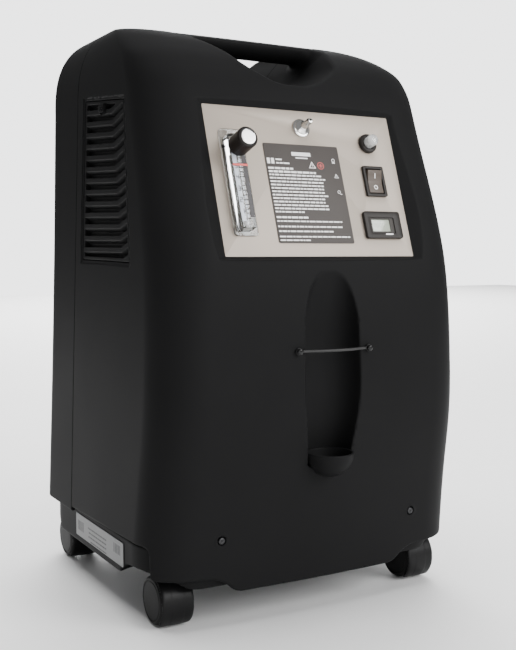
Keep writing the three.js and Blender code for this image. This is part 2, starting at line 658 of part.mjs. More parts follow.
function piece(name, manifold, material) {
  const mesh = new THREE.Mesh(geometryOf(manifold), material);
  mesh.name = name;
  return mesh;
}

// ---------------------------------------------------------------- assembly
const casing = new THREE.Group();
casing.position.y = CENTRE_SHIFT_Y;
casing.add(
  piece('front_shell', frontShell(), CASING),
  piece('rear_shell', rearShell(), CASING),
  piece('base_pan', basePan(), CASING_DARK),
  piece('handle_grip', handleGrip(), CASING_DARK),
  piece('filter_grille', filterGrille(), CASING_DARK),
  piece('grille_latch', grilleLatch(), CASING_DARK),
  piece('foam_filter', box(-160, -152, -54, 44, 358, 496), FOAM),
  piece('bottle_cup', bottleCup(), CASING),
  piece('retaining_strap', retainingStrap(), RUBBER),
  piece('rating_label', box(-BASE.halfWidth - 0.9, -BASE.halfWidth - 0.3, -74, 66, 44, 73), PAPER),
);
for (const [side, word] of [[-1, 'left'], [1, 'right']]) {
  casing.add(piece(`strap_peg_${word}`, strapPeg(side), BLACK_GLOSS));
  casing.add(piece(`front_screw_${word}`, frontScrew(side), STEEL));
}
REAR_SCREWS.forEach(([x, z], i) => casing.add(piece(`rear_screw_${i + 1}`, rearScrew(x, z), STEEL)));

const panel = new THREE.Group();
panel.position.set(0, PANEL.y, PANEL.z);
panel.rotation.x = THREE.MathUtils.degToRad(-PANEL.lean);
const labelBox = box(LABEL.x0, LABEL.x1, -GAP - LABEL.thick, -GAP, LABEL.z0, LABEL.z1);
const ball = solid(new THREE.SphereGeometry(FLOAT.r, 12, 8).translate(FLOW.x, FLOAT.y, FLOAT.z));
const marker = box(FLOW.x - 8, FLOW.x + 8, FLOW.front - 1.1, FLOW.front - 0.3, 85, 87);
panel.add(
  piece('control_panel', controlPanel(), PLATE),
  piece('panel_label', labelBox, LABEL_INK),
  piece('flowmeter_body', flowmeterBody(), ACRYLIC),
  piece('flow_marker', marker, RED),
  piece('float_ball', ball, STEEL),
  piece('flow_knob', cylinderY(FLOW.x, KNOB.z, KNOB.y0, KNOB.y1, KNOB.r, 20), BLACK_GLOSS),
  piece('flow_knob_cap', cylinderY(FLOW.x, KNOB.z, KNOB.y0 - 1.3, KNOB.y0 - GAP, 8.3), CHROME),
  piece('oxygen_outlet', outletNipple(), CHROME),
  piece('breaker_bezel', breakerBezel(), GREY_PLASTIC),
  piece('breaker_button', cylinderY(BREAKER.x, BREAKER.z, -15, 5, BREAKER.buttonR, 20), WHITE_PLASTIC),
  piece('switch_bezel', switchBezel(), BLACK_GLOSS),
  piece('hour_meter_case', hourMeterCase(), BLACK_GLOSS),
  piece('hour_meter_display', hourMeterDisplay(), LCD),
);
const rocker = piece('switch_rocker', switchRocker(), BROWN_GLOSS);
rocker.position.set(SWITCH.x, 1.5, SWITCH.z);
rocker.rotation.x = THREE.MathUtils.degToRad(SWITCH.tilt);
panel.add(rocker);
casing.add(panel);

for (const [sx, across] of [[-1, 'left'], [1, 'right']]) {
  for (const [y, along] of [[CASTER.frontY, 'front'], [CASTER.rearY, 'rear']]) {
    const caster = new THREE.Group();
    caster.position.set(sx * CASTER.x, y, 0);
    const wheels = piece(`caster_wheels_${along}_${across}`, wheelPair(), CASING_DARK);
    wheels.position.set(0, -CASTER.trail, CASTER.r);
    caster.add(piece(`caster_hood_${along}_${across}`, casterHood(), CASING_DARK));
    caster.add(piece(`caster_stem_${along}_${across}`, casterStem(), STEEL));
    caster.add(wheels);
    casing.add(caster);
  }
}

casing.add(
  piece('compressor_motor', compressorMotor(), ALUMINIUM),
  piece('compressor_head_left', compressorHead(-1), ALUMINIUM),
  piece('compressor_head_right', compressorHead(1), ALUMINIUM),
  piece('compressor_tray', mountingTray(), STEEL),
  piece('fan_shroud', fanShroud(), CASING_DARK),
  piece('fan_rotor', fanRotor(), CASING_DARK),
  piece('sieve_tank_left', tank(-85, -85, TANK_SEAT, 330, 38), ALUMINIUM),
  piece('sieve_tank_right', tank(85, -85, TANK_SEAT, 330, 38), ALUMINIUM),
  piece('product_tank', tank(0, -78, TANK_SEAT, 318, 34), ALUMINIUM),
  piece('valve_manifold', valveManifold(), ALUMINIUM),
  piece('intake_filter', intakeFilter(), WHITE_PLASTIC),
  piece('circuit_board', circuitBoard(), BOARD),
  piece('inner_divider', innerDivider(), STEEL),
  piece('power_inlet', powerInlet(), BLACK_GLOSS),
  piece('feed_tube', feedTube(), RUBBER),
  piece('product_tube', productTube(), RUBBER),
);

export default casing;
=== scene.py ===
import math

import bmesh
import bpy
import numpy as np
from mathutils import Matrix, Vector


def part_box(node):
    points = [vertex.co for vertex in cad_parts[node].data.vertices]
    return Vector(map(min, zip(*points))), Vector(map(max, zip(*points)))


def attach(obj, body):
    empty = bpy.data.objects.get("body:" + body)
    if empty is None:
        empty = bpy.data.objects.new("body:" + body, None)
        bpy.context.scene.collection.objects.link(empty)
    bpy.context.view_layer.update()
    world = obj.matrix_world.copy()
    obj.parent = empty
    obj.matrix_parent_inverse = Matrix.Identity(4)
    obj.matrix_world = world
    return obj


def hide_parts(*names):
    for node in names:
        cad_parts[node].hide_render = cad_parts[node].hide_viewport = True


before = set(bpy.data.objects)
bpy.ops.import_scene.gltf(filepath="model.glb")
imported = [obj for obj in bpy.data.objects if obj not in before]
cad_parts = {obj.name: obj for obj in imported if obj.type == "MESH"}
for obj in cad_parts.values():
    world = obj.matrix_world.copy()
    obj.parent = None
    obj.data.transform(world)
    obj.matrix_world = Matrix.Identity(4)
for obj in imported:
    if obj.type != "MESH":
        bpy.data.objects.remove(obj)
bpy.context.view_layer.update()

MM = 0.001
STEP = 2.5  # grid step of the casing's surface

# ---------------------------------------------------------------- driving dimensions (mm)
stem_low, stem_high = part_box("caster_stem_front_left")
CASTER_FRONT_Y = -95
SHIFT_Y = (stem_low.y + stem_high.y) / 2 / MM - CASTER_FRONT_Y  # from the casing's frame to the row frame

WALL = 5.2  # the moulded skin with its ribs' depth
PARTING_Y = 70
PARTING_GAP = 0.3
PLAN = {"half": 180, "front": -178, "rear": 181, "corner": 50, "rear_corner": 42, "power": 2.2,
        "edge_slope": 0.06}
SIDE = {"half": 182.2, "foot_z": 40, "taper": 0.0318}
REAR = {"foot_z": 60, "taper": 0.01}
SHOULDER = {"z": 515, "flat": 110, "rise": 86, "power": 2.4}
REAR_EDGE = {"z": 540, "flat": 130, "rise": 62, "power": 2.2}
TOP_Z = 600
BULGE = [(0, 5), (250, 5), (335, 2.6), (360, 2), (505, 2), (540, 3.5)]  # height, how far the middle bulges
FRONT_LINE = [(20, -153), (88, -160.5), (140, -168), (178, -174.5), (216, -178), (265, -177.5), (314, -173.5),
              (351, -167.5), (508, -113.5), (527, -106.5), (540, -99), (550, -91), (560, -77), (568, -62),
              (577, -42), (585, -20), (592, 5), (597, 45), (600, 100), (601.5, 160)]
CHANNEL = [(-40, 538), (-15, 527.5), (0, 527), (15, 527.5), (40, 538), (57, 550), (68, 566), (84, 585),
           (92, 594), (98, 602), (116, 632), (140, 672)]
RECESS = [(140, 22.8, 24, -171), (164, 24.6, 25, -171), (182, 27, 25, -172.5), (216, 31, 25, -175),
          (265, 31, 25, -175), (300, 29.5, 24, -178), (325, 23.5, 20, -182), (342.5, 18, 15, -186),
          (360, 12, 10, -192)]  # height, half-width, depth behind its widest line, that line's y
RECESS_POWER = 2.8
RECESS_FLOOR = 152
PANEL_LEAN = math.radians(18.58)
PANEL = {"y": -160.7, "z": 355, "half": 109.2, "height": 153.8, "thick": 2, "gap": 0.6, "lip": 5}
FRAME_SLOPES = {"side": (2.3, 2.5), "top": (1.4, 1.72), "bottom": (1.04, 1.44)}  # run and length per depth
VENT = [(50, 519), (-58, 508), (-81, 349), (50, 351)]
VENT_SIDE_X = -120  # the vent is cut only where x is below this
VENT_STEP = {"reach": 3, "deep": 1.1}
HEM = {"apron": 34, "side_front": 83, "side_slope": 0.0257, "front_y": -129}
REAR_HEM = {"low": 62, "high": 73.5, "y": 170}
SCREW = {"x": 111.7, "z": 88, "boss_r": 7, "boss_y": -136, "hole_r": 4.3, "hole_y": -153.6}
EXHAUST = {"low": 113, "pitch": 13, "count": 9, "half": 57, "r": 3}
INLET = {"x": -105, "z": 128, "half_x": 23.5, "half_z": 14}
REAR_CUT_Y = 160  # openings of the rear shell are cut behind this plane


# ---------------------------------------------------------------- curves
def natural_spline(t, p, at):
    """Natural cubic spline through the values p at the parameters t, read at the parameters at."""
    t, p = np.asarray(t, float), np.asarray(p, float)
    n, h = len(t), np.diff(t)
    a, b = np.eye(n), np.zeros(n)
    for i in range(1, n - 1):
        a[i, i - 1:i + 2] = h[i - 1], 2 * (h[i - 1] + h[i]), h[i]
        b[i] = 6 * ((p[i + 1] - p[i]) / h[i] - (p[i] - p[i - 1]) / h[i - 1])
    m = np.linalg.solve(a, b)
    i = np.clip(np.searchsorted(t, at) - 1, 0, n - 2)
    u, w, hi = at - t[i], t[i + 1] - at, h[i]
    return (m[i] * w ** 3 + m[i + 1] * u ** 3) / (6 * hi) + (p[i] / hi - m[i] * hi / 6) * w + (
        p[i + 1] / hi - m[i + 1] * hi / 6) * u


def smooth_line(points, samples=3000):
    """A dense table of a smooth line through points, spaced by chord length."""
    points = np.asarray(points, float)
    t = np.concatenate([[0], np.cumsum(np.linalg.norm(np.diff(points, axis=0), axis=1))])
    at = np.linspace(0, t[-1], samples)
    return [natural_spline(t, points[:, k], at) for k in range(points.shape[1])]


front_table = smooth_line(FRONT_LINE)
channel_table = smooth_line(CHANNEL)
recess_table = smooth_line(RECESS)
channel_slope = np.gradient(channel_table[1], channel_table[0])


# ---------------------------------------------------------------- fields: negative inside, in mm
def smax(a, b, k):
    """The larger of two fields, blended over a stretch k where they are close."""
    h = np.maximum(k - np.abs(a - b), 0) / k
    return np.maximum(a, b) + h * h * k / 4


def smin(a, b, k):
    return -smax(-a, -b, k)


def superellipse(t, power):
    return np.maximum(0, 1 - np.clip(t, 0, 1) ** power) ** (1 / power)


def half_width(z):
    straight = SIDE["half"] - SIDE["taper"] * (np.minimum(z, SHOULDER["z"]) - SIDE["foot_z"])
    t = (z - SHOULDER["z"]) / SHOULDER["rise"]
    return SHOULDER["flat"] + (straight - SHOULDER["flat"]) * superellipse(t, SHOULDER["power"])


def rear_line(z):
    straight = PLAN["rear"] - REAR["taper"] * np.maximum(np.minimum(z, REAR_EDGE["z"]) - REAR["foot_z"], 0)
    t = (z - REAR_EDGE["z"]) / REAR_EDGE["rise"]
    return REAR_EDGE["flat"] + (straight - REAR_EDGE["flat"]) * superellipse(t, REAR_EDGE["power"])


def front_line(z):
    return np.interp(z, front_table[0], front_table[1])


def bulge(z):
    """How far the middle of the front stands before its ends: little at the panel, more below."""
    return np.interp(z, *zip(*BULGE))


def plan(x, y, z):
    """The plan outline at the reference size: bulged front, round corners, flat back."""
    half, c, k = PLAN["half"], PLAN["corner"], PLAN["rear_corner"]
    flat, power = half - c, PLAN["power"]
    ax = np.abs(x)
    front = PLAN["front"] + bulge(z) * np.minimum(ax / flat, 1) ** 2
    front = front + PLAN["edge_slope"] * np.maximum(ax - flat, 0)
    u, v = np.maximum(ax - flat, 0) / c, np.maximum(c - (y - front), 0) / c
    ahead = ((u ** power + v ** power) ** (1 / power) - 1) * c
    u, v = np.maximum(ax - half + k, 0) / k, np.maximum(y - PLAN["rear"] + k, 0) / k
    behind = (np.sqrt(u * u + v * v) - 1) * k
    return np.maximum(ahead, behind)


def casing_raw(x, y, z):
    front, rear = front_line(z), rear_line(z)
    across = (y - front) / (rear - front)
    return plan(x * PLAN["half"] / half_width(z), PLAN["front"] + across * (PLAN["rear"] - PLAN["front"]), z)


def channel_air(x, z):
    ax = np.abs(x)
    floor = np.interp(ax, channel_table[0], channel_table[1])
    return (z - floor) / np.sqrt(1 + np.interp(ax, channel_table[0], channel_slope) ** 2)


def recess(x, y, z):
    """The bottle's recess: a flute with a flat back, open to the front."""
    half, deep, centre = (np.interp(z, recess_table[0], recess_table[k]) for k in (1, 2, 3))
    u, v = np.abs(x) / half, np.maximum(y - centre, 0) / deep
    wall = ((u ** RECESS_POWER + v ** RECESS_POWER) ** (1 / RECESS_POWER) - 1) * np.minimum(half, deep)
    return smax(wall, RECESS_FLOOR - z, 3)


def panel_coordinates(y, z):
    c, s = math.cos(PANEL_LEAN), math.sin(PANEL_LEAN)
    dy, dz = y - PANEL["y"], z - PANEL["z"]
    return dy * c - dz * s, dy * s + dz * c


def panel_frame(x, y, z):
    """The space cut for the panel: its sides slope out from the plate to the casing's surface."""
    ly, lz = panel_coordinates(y, z)
    past = {"side": np.abs(x) - PANEL["half"], "top": lz - PANEL["height"], "bottom": -lz}
    side, top, bottom = ((past[name] - PANEL["gap"] + run * ly) / length
                         for name, (run, length) in FRAME_SLOPES.items())
    return np.maximum(np.maximum(side, ly - 0.3), np.maximum(top, bottom))


def panel_window(x, y, z):
    """The opening behind the plate, which leaves a lip for the plate to rest on."""
    ly, lz = panel_coordinates(y, z)
    half_h, lip = PANEL["height"] / 2, PANEL["lip"]
    rim = np.maximum(np.abs(x) - PANEL["half"] + lip, np.abs(lz - half_h) - half_h + lip)
    return np.maximum(rim, np.abs(ly - 6) - 14)


def polygon(points, a, b):
    """Signed distance to a convex polygon, given anticlockwise or clockwise, in the plane (a, b)."""
    p = np.asarray(points, float)
    middle = p.mean(0)
    d = None
    for (a0, b0), (a1, b1) in zip(p, np.roll(p, -1, 0)):
        n = np.array([b1 - b0, a0 - a1]) / math.hypot(a1 - a0, b1 - b0)
        if (middle - [a0, b0]) @ n > 0:
            n = -n
        e = (a - a0) * n[0] + (b - b0) * n[1]
        d = e if d is None else smax(d, e, 2.0)
    return d


def casing_outer(F, x, y, z):
    body = smax(F, z - TOP_Z, 3)
    body = smax(body, channel_air(x, z), 3.2)
    body = smax(body, -recess(x, y, z), 1.6)
    return smax(body, -panel_frame(x, y, z), 0.7)


def casing_shell(F, x, y, z):
    body = casing_outer(F, x, y, z)
    return np.maximum(body, -(body + WALL))


def hem_air(x, y, z):
    """Positive below the lower edge of the front shell: an apron, an arch over each caster, side hems."""
    ax = np.abs(x)
    slope = ((ax - 94) * 16 - (z - HEM["apron"]) * 15) / 21.9
    roof = 50 + (ax - 109) * 0.0225 - z
    ahead = smax(HEM["apron"] - z, smin(slope, roof, 12), 6)
    side = HEM["side_front"] - HEM["side_slope"] * (y - HEM["front_y"]) - z
    return smax(ahead, smin(side, y - HEM["front_y"], 9), 4)


def front_shell_field(F, x, y, z):
    shell = casing_shell(F, x, y, z)
    shell = np.maximum(shell, -panel_window(x, y, z))
    vent = polygon(VENT, y, z) + 0 * x
    step = smax(vent - VENT_STEP["reach"], -(F + VENT_STEP["deep"]), 0.8)
    shell = smax(shell, -np.maximum(step, x - VENT_SIDE_X), 0.8)
    shell = smax(shell, -np.maximum(vent, x - VENT_SIDE_X), 1.0)
    from_axis = np.sqrt((np.abs(x) - SCREW["x"]) ** 2 + (z - SCREW["z"]) ** 2)
    boss = smax(from_axis - SCREW["boss_r"], F, 1)
    shell = smin(shell, np.maximum(boss, y - SCREW["boss_y"]), 1.0)
    shell = smax(shell, -np.maximum(from_axis - SCREW["hole_r"], y - SCREW["hole_y"]), 0.9)
    shell = smax(shell, hem_air(x, y, z), 2.6)
    return smax(shell, y - PARTING_Y, 1.0)


def rear_shell_field(F, x, y, z):
    shell = casing_shell(F, x, y, z)
    for i in range(EXHAUST["count"]):
        centre = EXHAUST["low"] + EXHAUST["pitch"] * i
        slot = np.sqrt(np.maximum(np.abs(x) - EXHAUST["half"], 0) ** 2 + (z - centre) ** 2) - EXHAUST["r"]
        shell = smax(shell, -np.maximum(slot, REAR_CUT_Y - y), 0.8)
    inlet = np.maximum(np.abs(x - INLET["x"]) - INLET["half_x"], np.abs(z - INLET["z"]) - INLET["half_z"])
    shell = smax(shell, -np.maximum(inlet, REAR_CUT_Y - y), 0.5)
    air = smax(REAR_HEM["low"] - z, smin(REAR_HEM["high"] - z, REAR_HEM["y"] - y, 6), 3)
    shell = smax(shell, air, 2.0)
    return smax(shell, PARTING_Y + PARTING_GAP - y, 1.0)


# ---------------------------------------------------------------- surfaces from fields
def spaced(low, high, step, fine=()):
    """Grid planes from low to high, closer together in the stretches (from, to, step) of fine."""
    planes = [low]
    while planes[-1] < high:
        here = planes[-1]
        local = min([step] + [s for a, b, s in fine if a - s <= here <= b])
        planes.append(here + local)
    return np.array(planes)


def value_on_grid(field, xs, ys, zs, cased):
    x, y, z = xs[:, None, None], ys[None, :, None], zs[None, None, :]
    F = 0.0
    if cased:
        F = casing_raw(x, y, z)
        gx, gy, gz = np.gradient(F, xs, ys, zs)
        F = F / np.sqrt(gx * gx + gy * gy + gz * gz + 1e-6)
    return field(F, x, y, z) + np.zeros((len(xs), len(ys), len(zs)))


def value_and_slope(field, p, cased, h=0.25):
    """The field and its gradient at the points p, by central differences."""
    shifts = [np.zeros(3)] + [s * h * np.eye(3)[k] for k in range(3) for s in (1, -1)]
    at = [p + s for s in shifts]
    if cased:
        raw = [casing_raw(*q.T) for q in at]
        slope = np.stack([raw[1] - raw[2], raw[3] - raw[4], raw[5] - raw[6]]) / (2 * h)
        norm = np.sqrt((slope ** 2).sum(0) + 1e-6)
        raw = [r / norm for r in raw]
    else:
        raw = [0.0] * 7
    f = [field(r, *q.T) for r, q in zip(raw, at)]
    return f[0], np.stack([f[1] - f[2], f[3] - f[4], f[5] - f[6]], 1) / (2 * h)


def surface_net(field, xs, ys, zs, cased=False, relax=2):
    """Points, quads and normals of a field's zero surface on a grid of planes."""
    v = value_on_grid(field, xs, ys, zs, cased)
    inside = v < 0
    n = [len(xs) - 1, len(ys) - 1, len(zs) - 1]
    count = np.zeros(n, np.int8)
    for dx in (0, 1):
        for dy in (0, 1):
            for dz in (0, 1):
                count += inside[dx:dx + n[0], dy:dy + n[1], dz:dz + n[2]]
    cells = np.argwhere((count > 0) & (count < 8))
    ids = np.full(n, -1, np.int64)
    ids[tuple(cells.T)] = np.arange(len(cells))
    total, hits = np.zeros((len(cells), 3)), np.zeros(len(cells))
    planes = (xs, ys, zs)
    for axis in range(3):
        for a in (0, 1):
            for b in (0, 1):
                start = cells.copy()
                start[:, (axis + 1) % 3] += a
                start[:, (axis + 2) % 3] += b
                end = start.copy()
                end[:, axis] += 1
                v0, v1 = v[tuple(start.T)], v[tuple(end.T)]
                cross = (v0 < 0) != (v1 < 0)
                t = np.where(cross, v0 / np.where(cross, v0 - v1, 1), 0)
                p = np.stack([planes[k][start[:, k]] for k in range(3)], 1)
                p[:, axis] += t * (planes[axis][end[:, axis]] - planes[axis][start[:, axis]])
                total[cross] += p[cross]
                hits[cross] += 1
    points = total / hits[:, None]
    quads = []
    for axis in range(3):
        b, c = (axis + 1) % 3, (axis + 2) % 3
        low, high = [slice(None)] * 3, [slice(None)] * 3
        low[axis], high[axis] = slice(0, -1), slice(1, None)
        first, second = inside[tuple(low)], inside[tuple(high)]
        at = np.argwhere(first != second)
        at = at[(at[:, b] > 0) & (at[:, c] > 0) & (at[:, b] < n[b]) & (at[:, c] < n[c])]
        outward = first[tuple(at.T)]
        ring = []
        for db, dc in ((-1, -1), (0, -1), (0, 0), (-1, 0)):
            q = at.copy()
            q[:, b] += db
            q[:, c] += dc
            ring.append(ids[tuple(q.T)])
        ring = np.stack(ring, 1)
        ring[~outward] = ring[~outward][:, ::-1]
        quads.append(ring)
    quads = np.concatenate(quads)
    largest = max(np.diff(planes[k]).max() for k in range(3))

    def settle(p, rounds):
        for _ in range(rounds):
            f, g = value_and_slope(field, p, cased)
            length = np.maximum(np.linalg.norm(g, axis=1), 0.2)
            p = p - (np.clip(f / length, -0.6 * largest, 0.6 * largest) / length)[:, None] * g
        return p

    points = settle(points, 2)
    edges = np.concatenate([quads[:, [0, 1]], quads[:, [1, 2]], quads[:, [2, 3]], quads[:, [3, 0]]])
    degree = np.bincount(edges.ravel(), minlength=len(points))[:, None]
    for _ in range(relax):
        around = np.stack([np.bincount(edges[:, 0], points[edges[:, 1], k], len(points))
                           + np.bincount(edges[:, 1], points[edges[:, 0], k], len(points))
                           for k in range(3)], 1)
        points = settle(points * 0.5 + 0.5 * around / np.maximum(degree, 1), 1)
    points = settle(points, 1)
    _, g = value_and_slope(field, points, cased)
    normals = g / np.maximum(np.linalg.norm(g, axis=1, keepdims=True), 1e-9)
    return points, quads, normals


# ---------------------------------------------------------------- meshes and placing
def row_points(points):
    """Casing-frame millimetres to row-frame metres."""
    return (np.asarray(points, float) + [0, SHIFT_Y, 0]) * MM


def make_object(name, points, quads, normals=None):
    mesh = bpy.data.meshes.new(name)
    mesh.vertices.add(len(points))
    mesh.vertices.foreach_set("co", np.asarray(points, np.float32).ravel())
    mesh.loops.add(quads.size)
    mesh.loops.foreach_set("vertex_index", quads.astype(np.int32).ravel())
    mesh.polygons.add(len(quads))
    mesh.polygons.foreach_set("loop_start", np.arange(0, quads.size, quads.shape[1], dtype=np.int32))
    mesh.update(calc_edges=True)
    mesh.polygons.foreach_set("use_smooth", np.ones(len(quads), bool))
    if normals is not None:
        mesh.normals_split_custom_set_from_vertices(normals)
    obj = bpy.data.objects.new(name, mesh)
    bpy.context.scene.collection.objects.link(obj)
    return obj


def settle_piece(obj, body, slot, material, *nodes):
    """Gives a piece its material, its body and the CAD nodes it stands for; the slot argument is not used."""
    obj.data.materials.clear()
    obj.data.materials.append(material)
    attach(obj, body)
    if nodes:
        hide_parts(*nodes)
    return obj


def from_field(name, field, xs, ys, zs, cased=False, place=row_points, relax=2):
    points, quads, normals = surface_net(field, xs, ys, zs, cased, relax)
    placed = place(points)
    origin = place(np.zeros((1, 3)))
    turned = (place(normals) - origin) / MM
    return make_object(name, placed, quads, turned)


# ---------------------------------------------------------------- materials
def node(tree, kind, **values):
    made = tree.nodes.new(kind)
    for key, value in values.items():
        if key in made.inputs:
            made.inputs[key].default_value = value
        else:
            setattr(made, key, value)
    return made


def new_material(name):
    material = bpy.data.materials.new(name)
    material.use_nodes = True
    tree = material.node_tree
    return material, tree, tree.nodes["Principled BSDF"]


def surface(name, dark, light, rough=(0.4, 0.5), metallic=0.0, grain=1400, bump=0.1, depth=0.0002, patch=9,
            specular=0.5, coat=0.0, coat_rough=0.1):
    """Fine-grained surface: colour drifts between two tones, roughness varies, and a fine grain bumps it."""
    material, tree, shader = new_material(name)
    link = tree.links.new
    where = node(tree, "ShaderNodeTexCoord")
    drift = node(tree, "ShaderNodeTexNoise", Scale=patch, Detail=3.0)
    fine = node(tree, "ShaderNodeTexNoise", Scale=grain, Detail=2.0)
    tone = node(tree, "ShaderNodeMix", data_type="RGBA")
    tone.inputs["A"].default_value = (*dark, 1)
    tone.inputs["B"].default_value = (*light, 1)
    rough_range = node(tree, "ShaderNodeMapRange")
    rough_range.inputs["To Min"].default_value, rough_range.inputs["To Max"].default_value = rough
    relief = node(tree, "ShaderNodeBump", Strength=bump, Distance=depth)
    for texture in (drift, fine):
        link(where.outputs["Object"], texture.inputs["Vector"])
    link(drift.outputs["Fac"], tone.inputs["Factor"])
    link(tone.outputs["Result"], shader.inputs["Base Color"])
    link(drift.outputs["Fac"], rough_range.inputs["Value"])
    link(rough_range.outputs["Result"], shader.inputs["Roughness"])
    link(fine.outputs["Fac"], relief.inputs["Height"])
    link(relief.outputs["Normal"], shader.inputs["Normal"])
    shader.inputs["Metallic"].default_value = metallic
    shader.inputs["Specular IOR Level"].default_value = specular
    shader.inputs["Coat Weight"].default_value = coat
    shader.inputs["Coat Roughness"].default_value = coat_rough
    return material


def glassy(name, colour, rough=0.05, ior=1.49, clear=1.0):
    """Clear moulded plastic, with faint flow marks."""
    material, tree, shader = new_material(name)
    link = tree.links.new
    where = node(tree, "ShaderNodeTexCoord")
    marks = node(tree, "ShaderNodeTexNoise", Scale=60.0, Detail=2.0)
    relief = node(tree, "ShaderNodeBump", Strength=0.02, Distance=0.0003)
    link(where.outputs["Object"], marks.inputs["Vector"])
    link(marks.outputs["Fac"], relief.inputs["Height"])
    link(relief.outputs["Normal"], shader.inputs["Normal"])
    shader.inputs["Base Color"].default_value = (*colour, 1)
    shader.inputs["Roughness"].default_value = rough
    shader.inputs["IOR"].default_value = ior
    shader.inputs["Transmission Weight"].default_value = clear
    return material


casing_black = surface("casing_black", (0.0088, 0.0088, 0.0090), (0.0112, 0.0112, 0.0115), rough=(0.42, 0.52),
                       grain=1500, bump=0.3, depth=0.00012, specular=0.022)
casing_deep = surface("casing_deep", (0.0065, 0.0065, 0.0067), (0.009, 0.009, 0.0092), rough=(0.46, 0.58),
                      grain=1300, bump=0.3, depth=0.00012, specular=0.05)
gloss_black = surface("gloss_black", (0.004, 0.004, 0.0042), (0.0065, 0.0065, 0.0068), rough=(0.2, 0.28),
                      grain=700, bump=0.06, depth=0.0001, specular=0.25)
bezel_black = surface("bezel_black", (0.012, 0.0100, 0.0088), (0.018, 0.0150, 0.0132), rough=(0.32, 0.42),
                      grain=1500, bump=0.15, depth=0.0001, specular=0.16)
plate_paint = surface("plate_paint", (0.315, 0.270, 0.225), (0.352, 0.303, 0.254), rough=(0.4, 0.5),
                      metallic=0.2, grain=2600, bump=0.12, depth=0.00006, patch=14)
label_film = surface("label_film", (0.050, 0.044, 0.041), (0.062, 0.055, 0.051), rough=(0.4, 0.5),
                     grain=1900, bump=0.06, depth=0.00005, specular=0.15)
print_white = surface("print_white", (0.78, 0.77, 0.76), (0.88, 0.87, 0.86), rough=(0.45, 0.55), bump=0.02)
# Dark print for the flowmeter's scale, also the painted reflection on the knob's cap.
dark_print_and_reflection = surface("dark_print_and_reflection", (0.02, 0.02, 0.021), (0.03, 0.03, 0.031), rough=(0.45, 0.55), bump=0.02)
print_red = surface("print_red", (0.42, 0.05, 0.045), (0.52, 0.075, 0.065), rough=(0.4, 0.5), bump=0.02)
chrome = surface("chrome", (0.72, 0.71, 0.69), (0.80, 0.79, 0.77), rough=(0.07, 0.16), metallic=1.0,
                 grain=500, bump=0.03, depth=0.00005)
bright_cap = surface("bright_cap", (0.80, 0.80, 0.80), (0.88, 0.88, 0.88), rough=(0.16, 0.26), metallic=1.0,
                     grain=900, bump=0.05, depth=0.00005)
screw_steel = surface("screw_steel", (0.030, 0.030, 0.031), (0.05, 0.05, 0.052), rough=(0.34, 0.46),
                      metallic=1.0, grain=900, bump=0.12, depth=0.00008)
steel = surface("steel", (0.26, 0.26, 0.27), (0.36, 0.36, 0.37), rough=(0.3, 0.42), metallic=1.0, grain=900,
                bump=0.12, depth=0.00008)
rocker_brown = surface("rocker_brown", (0.058, 0.043, 0.033), (0.076, 0.057, 0.044), rough=(0.3, 0.4),
                       grain=1300, bump=0.1, depth=0.00008, specular=0.25)
rubber = surface("rubber", (0.004, 0.004, 0.004), (0.008, 0.008, 0.008), rough=(0.5, 0.66), grain=1800,
                 bump=0.3, depth=0.0001)
display = surface("display", (0.30, 0.33, 0.27), (0.36, 0.39, 0.32), rough=(0.12, 0.2), grain=400, bump=0.03,
                  coat=0.6)
button_white = surface("button_white", (0.42, 0.42, 0.41), (0.52, 0.52, 0.51), rough=(0.2, 0.3), bump=0.05)
boot_clear = glassy("boot_clear", (0.93, 0.93, 0.92), rough=0.16, ior=1.42, clear=0.75)
acrylic = glassy("acrylic", (0.93, 0.95, 0.96))
sticker = surface("sticker", (0.125, 0.127, 0.129), (0.16, 0.162, 0.164), rough=(0.4, 0.5), grain=900,
                  bump=0.05)
sticker_print = surface("sticker_print", (0.03, 0.03, 0.031), (0.05, 0.05, 0.052), rough=(0.5, 0.6),
                        bump=0.02)
foam = surface("foam", (0.018, 0.018, 0.019), (0.04, 0.04, 0.042), rough=(0.85, 0.95), grain=420, bump=0.9,
               depth=0.0012)
cast_metal = surface("cast_metal", (0.42, 0.43, 0.44), (0.52, 0.53, 0.54), rough=(0.42, 0.56), metallic=0.9,
                     grain=700, bump=0.35, depth=0.0002)
zinc = surface("zinc", (0.40, 0.41, 0.42), (0.55, 0.56, 0.57), rough=(0.32, 0.46), metallic=0.95, grain=160,
               bump=0.08, depth=0.0002, patch=24)
filter_white = surface("filter_white", (0.6, 0.59, 0.57), (0.7, 0.69, 0.67), rough=(0.5, 0.6), bump=0.1)
board_green = surface("board_green", (0.012, 0.085, 0.03), (0.02, 0.12, 0.045), rough=(0.28, 0.4), grain=300,
                      bump=0.2)
tread = surface("tread", (0.0035, 0.0035, 0.0036), (0.0065, 0.0065, 0.0067), rough=(0.42, 0.56), grain=800,
                bump=0.25, depth=0.00015, specular=0.12)
caster_plastic = surface("caster_plastic", (0.0035, 0.0035, 0.0037), (0.006, 0.006, 0.0062),
                         rough=(0.34, 0.46), grain=900, bump=0.12, depth=0.0001, specular=0.14)
# Pale print of the flowmeter's scale, also the painted highlight down its bore.
pale_print_and_highlight = surface("pale_print_and_highlight", (0.50, 0.54, 0.62), (0.62, 0.66, 0.72), rough=(0.3, 0.4), bump=0.02)
scale_grey = surface("scale_grey", (0.050, 0.046, 0.048), (0.075, 0.070, 0.073), rough=(0.3, 0.4), bump=0.02,
                     specular=0.2)
marker_red = surface("marker_red", (0.62, 0.035, 0.025), (0.75, 0.06, 0.045), rough=(0.3, 0.4), bump=0.02)
knob_black = surface("knob_black", (0.007, 0.0055, 0.005), (0.012, 0.0095, 0.0085), rough=(0.36, 0.48),
                     grain=900, bump=0.2, depth=0.00012, specular=0.14)
meter_frame = surface("meter_frame", (0.028, 0.025, 0.022), (0.04, 0.036, 0.032), rough=(0.4, 0.5), bump=0.06,
                      specular=0.2)
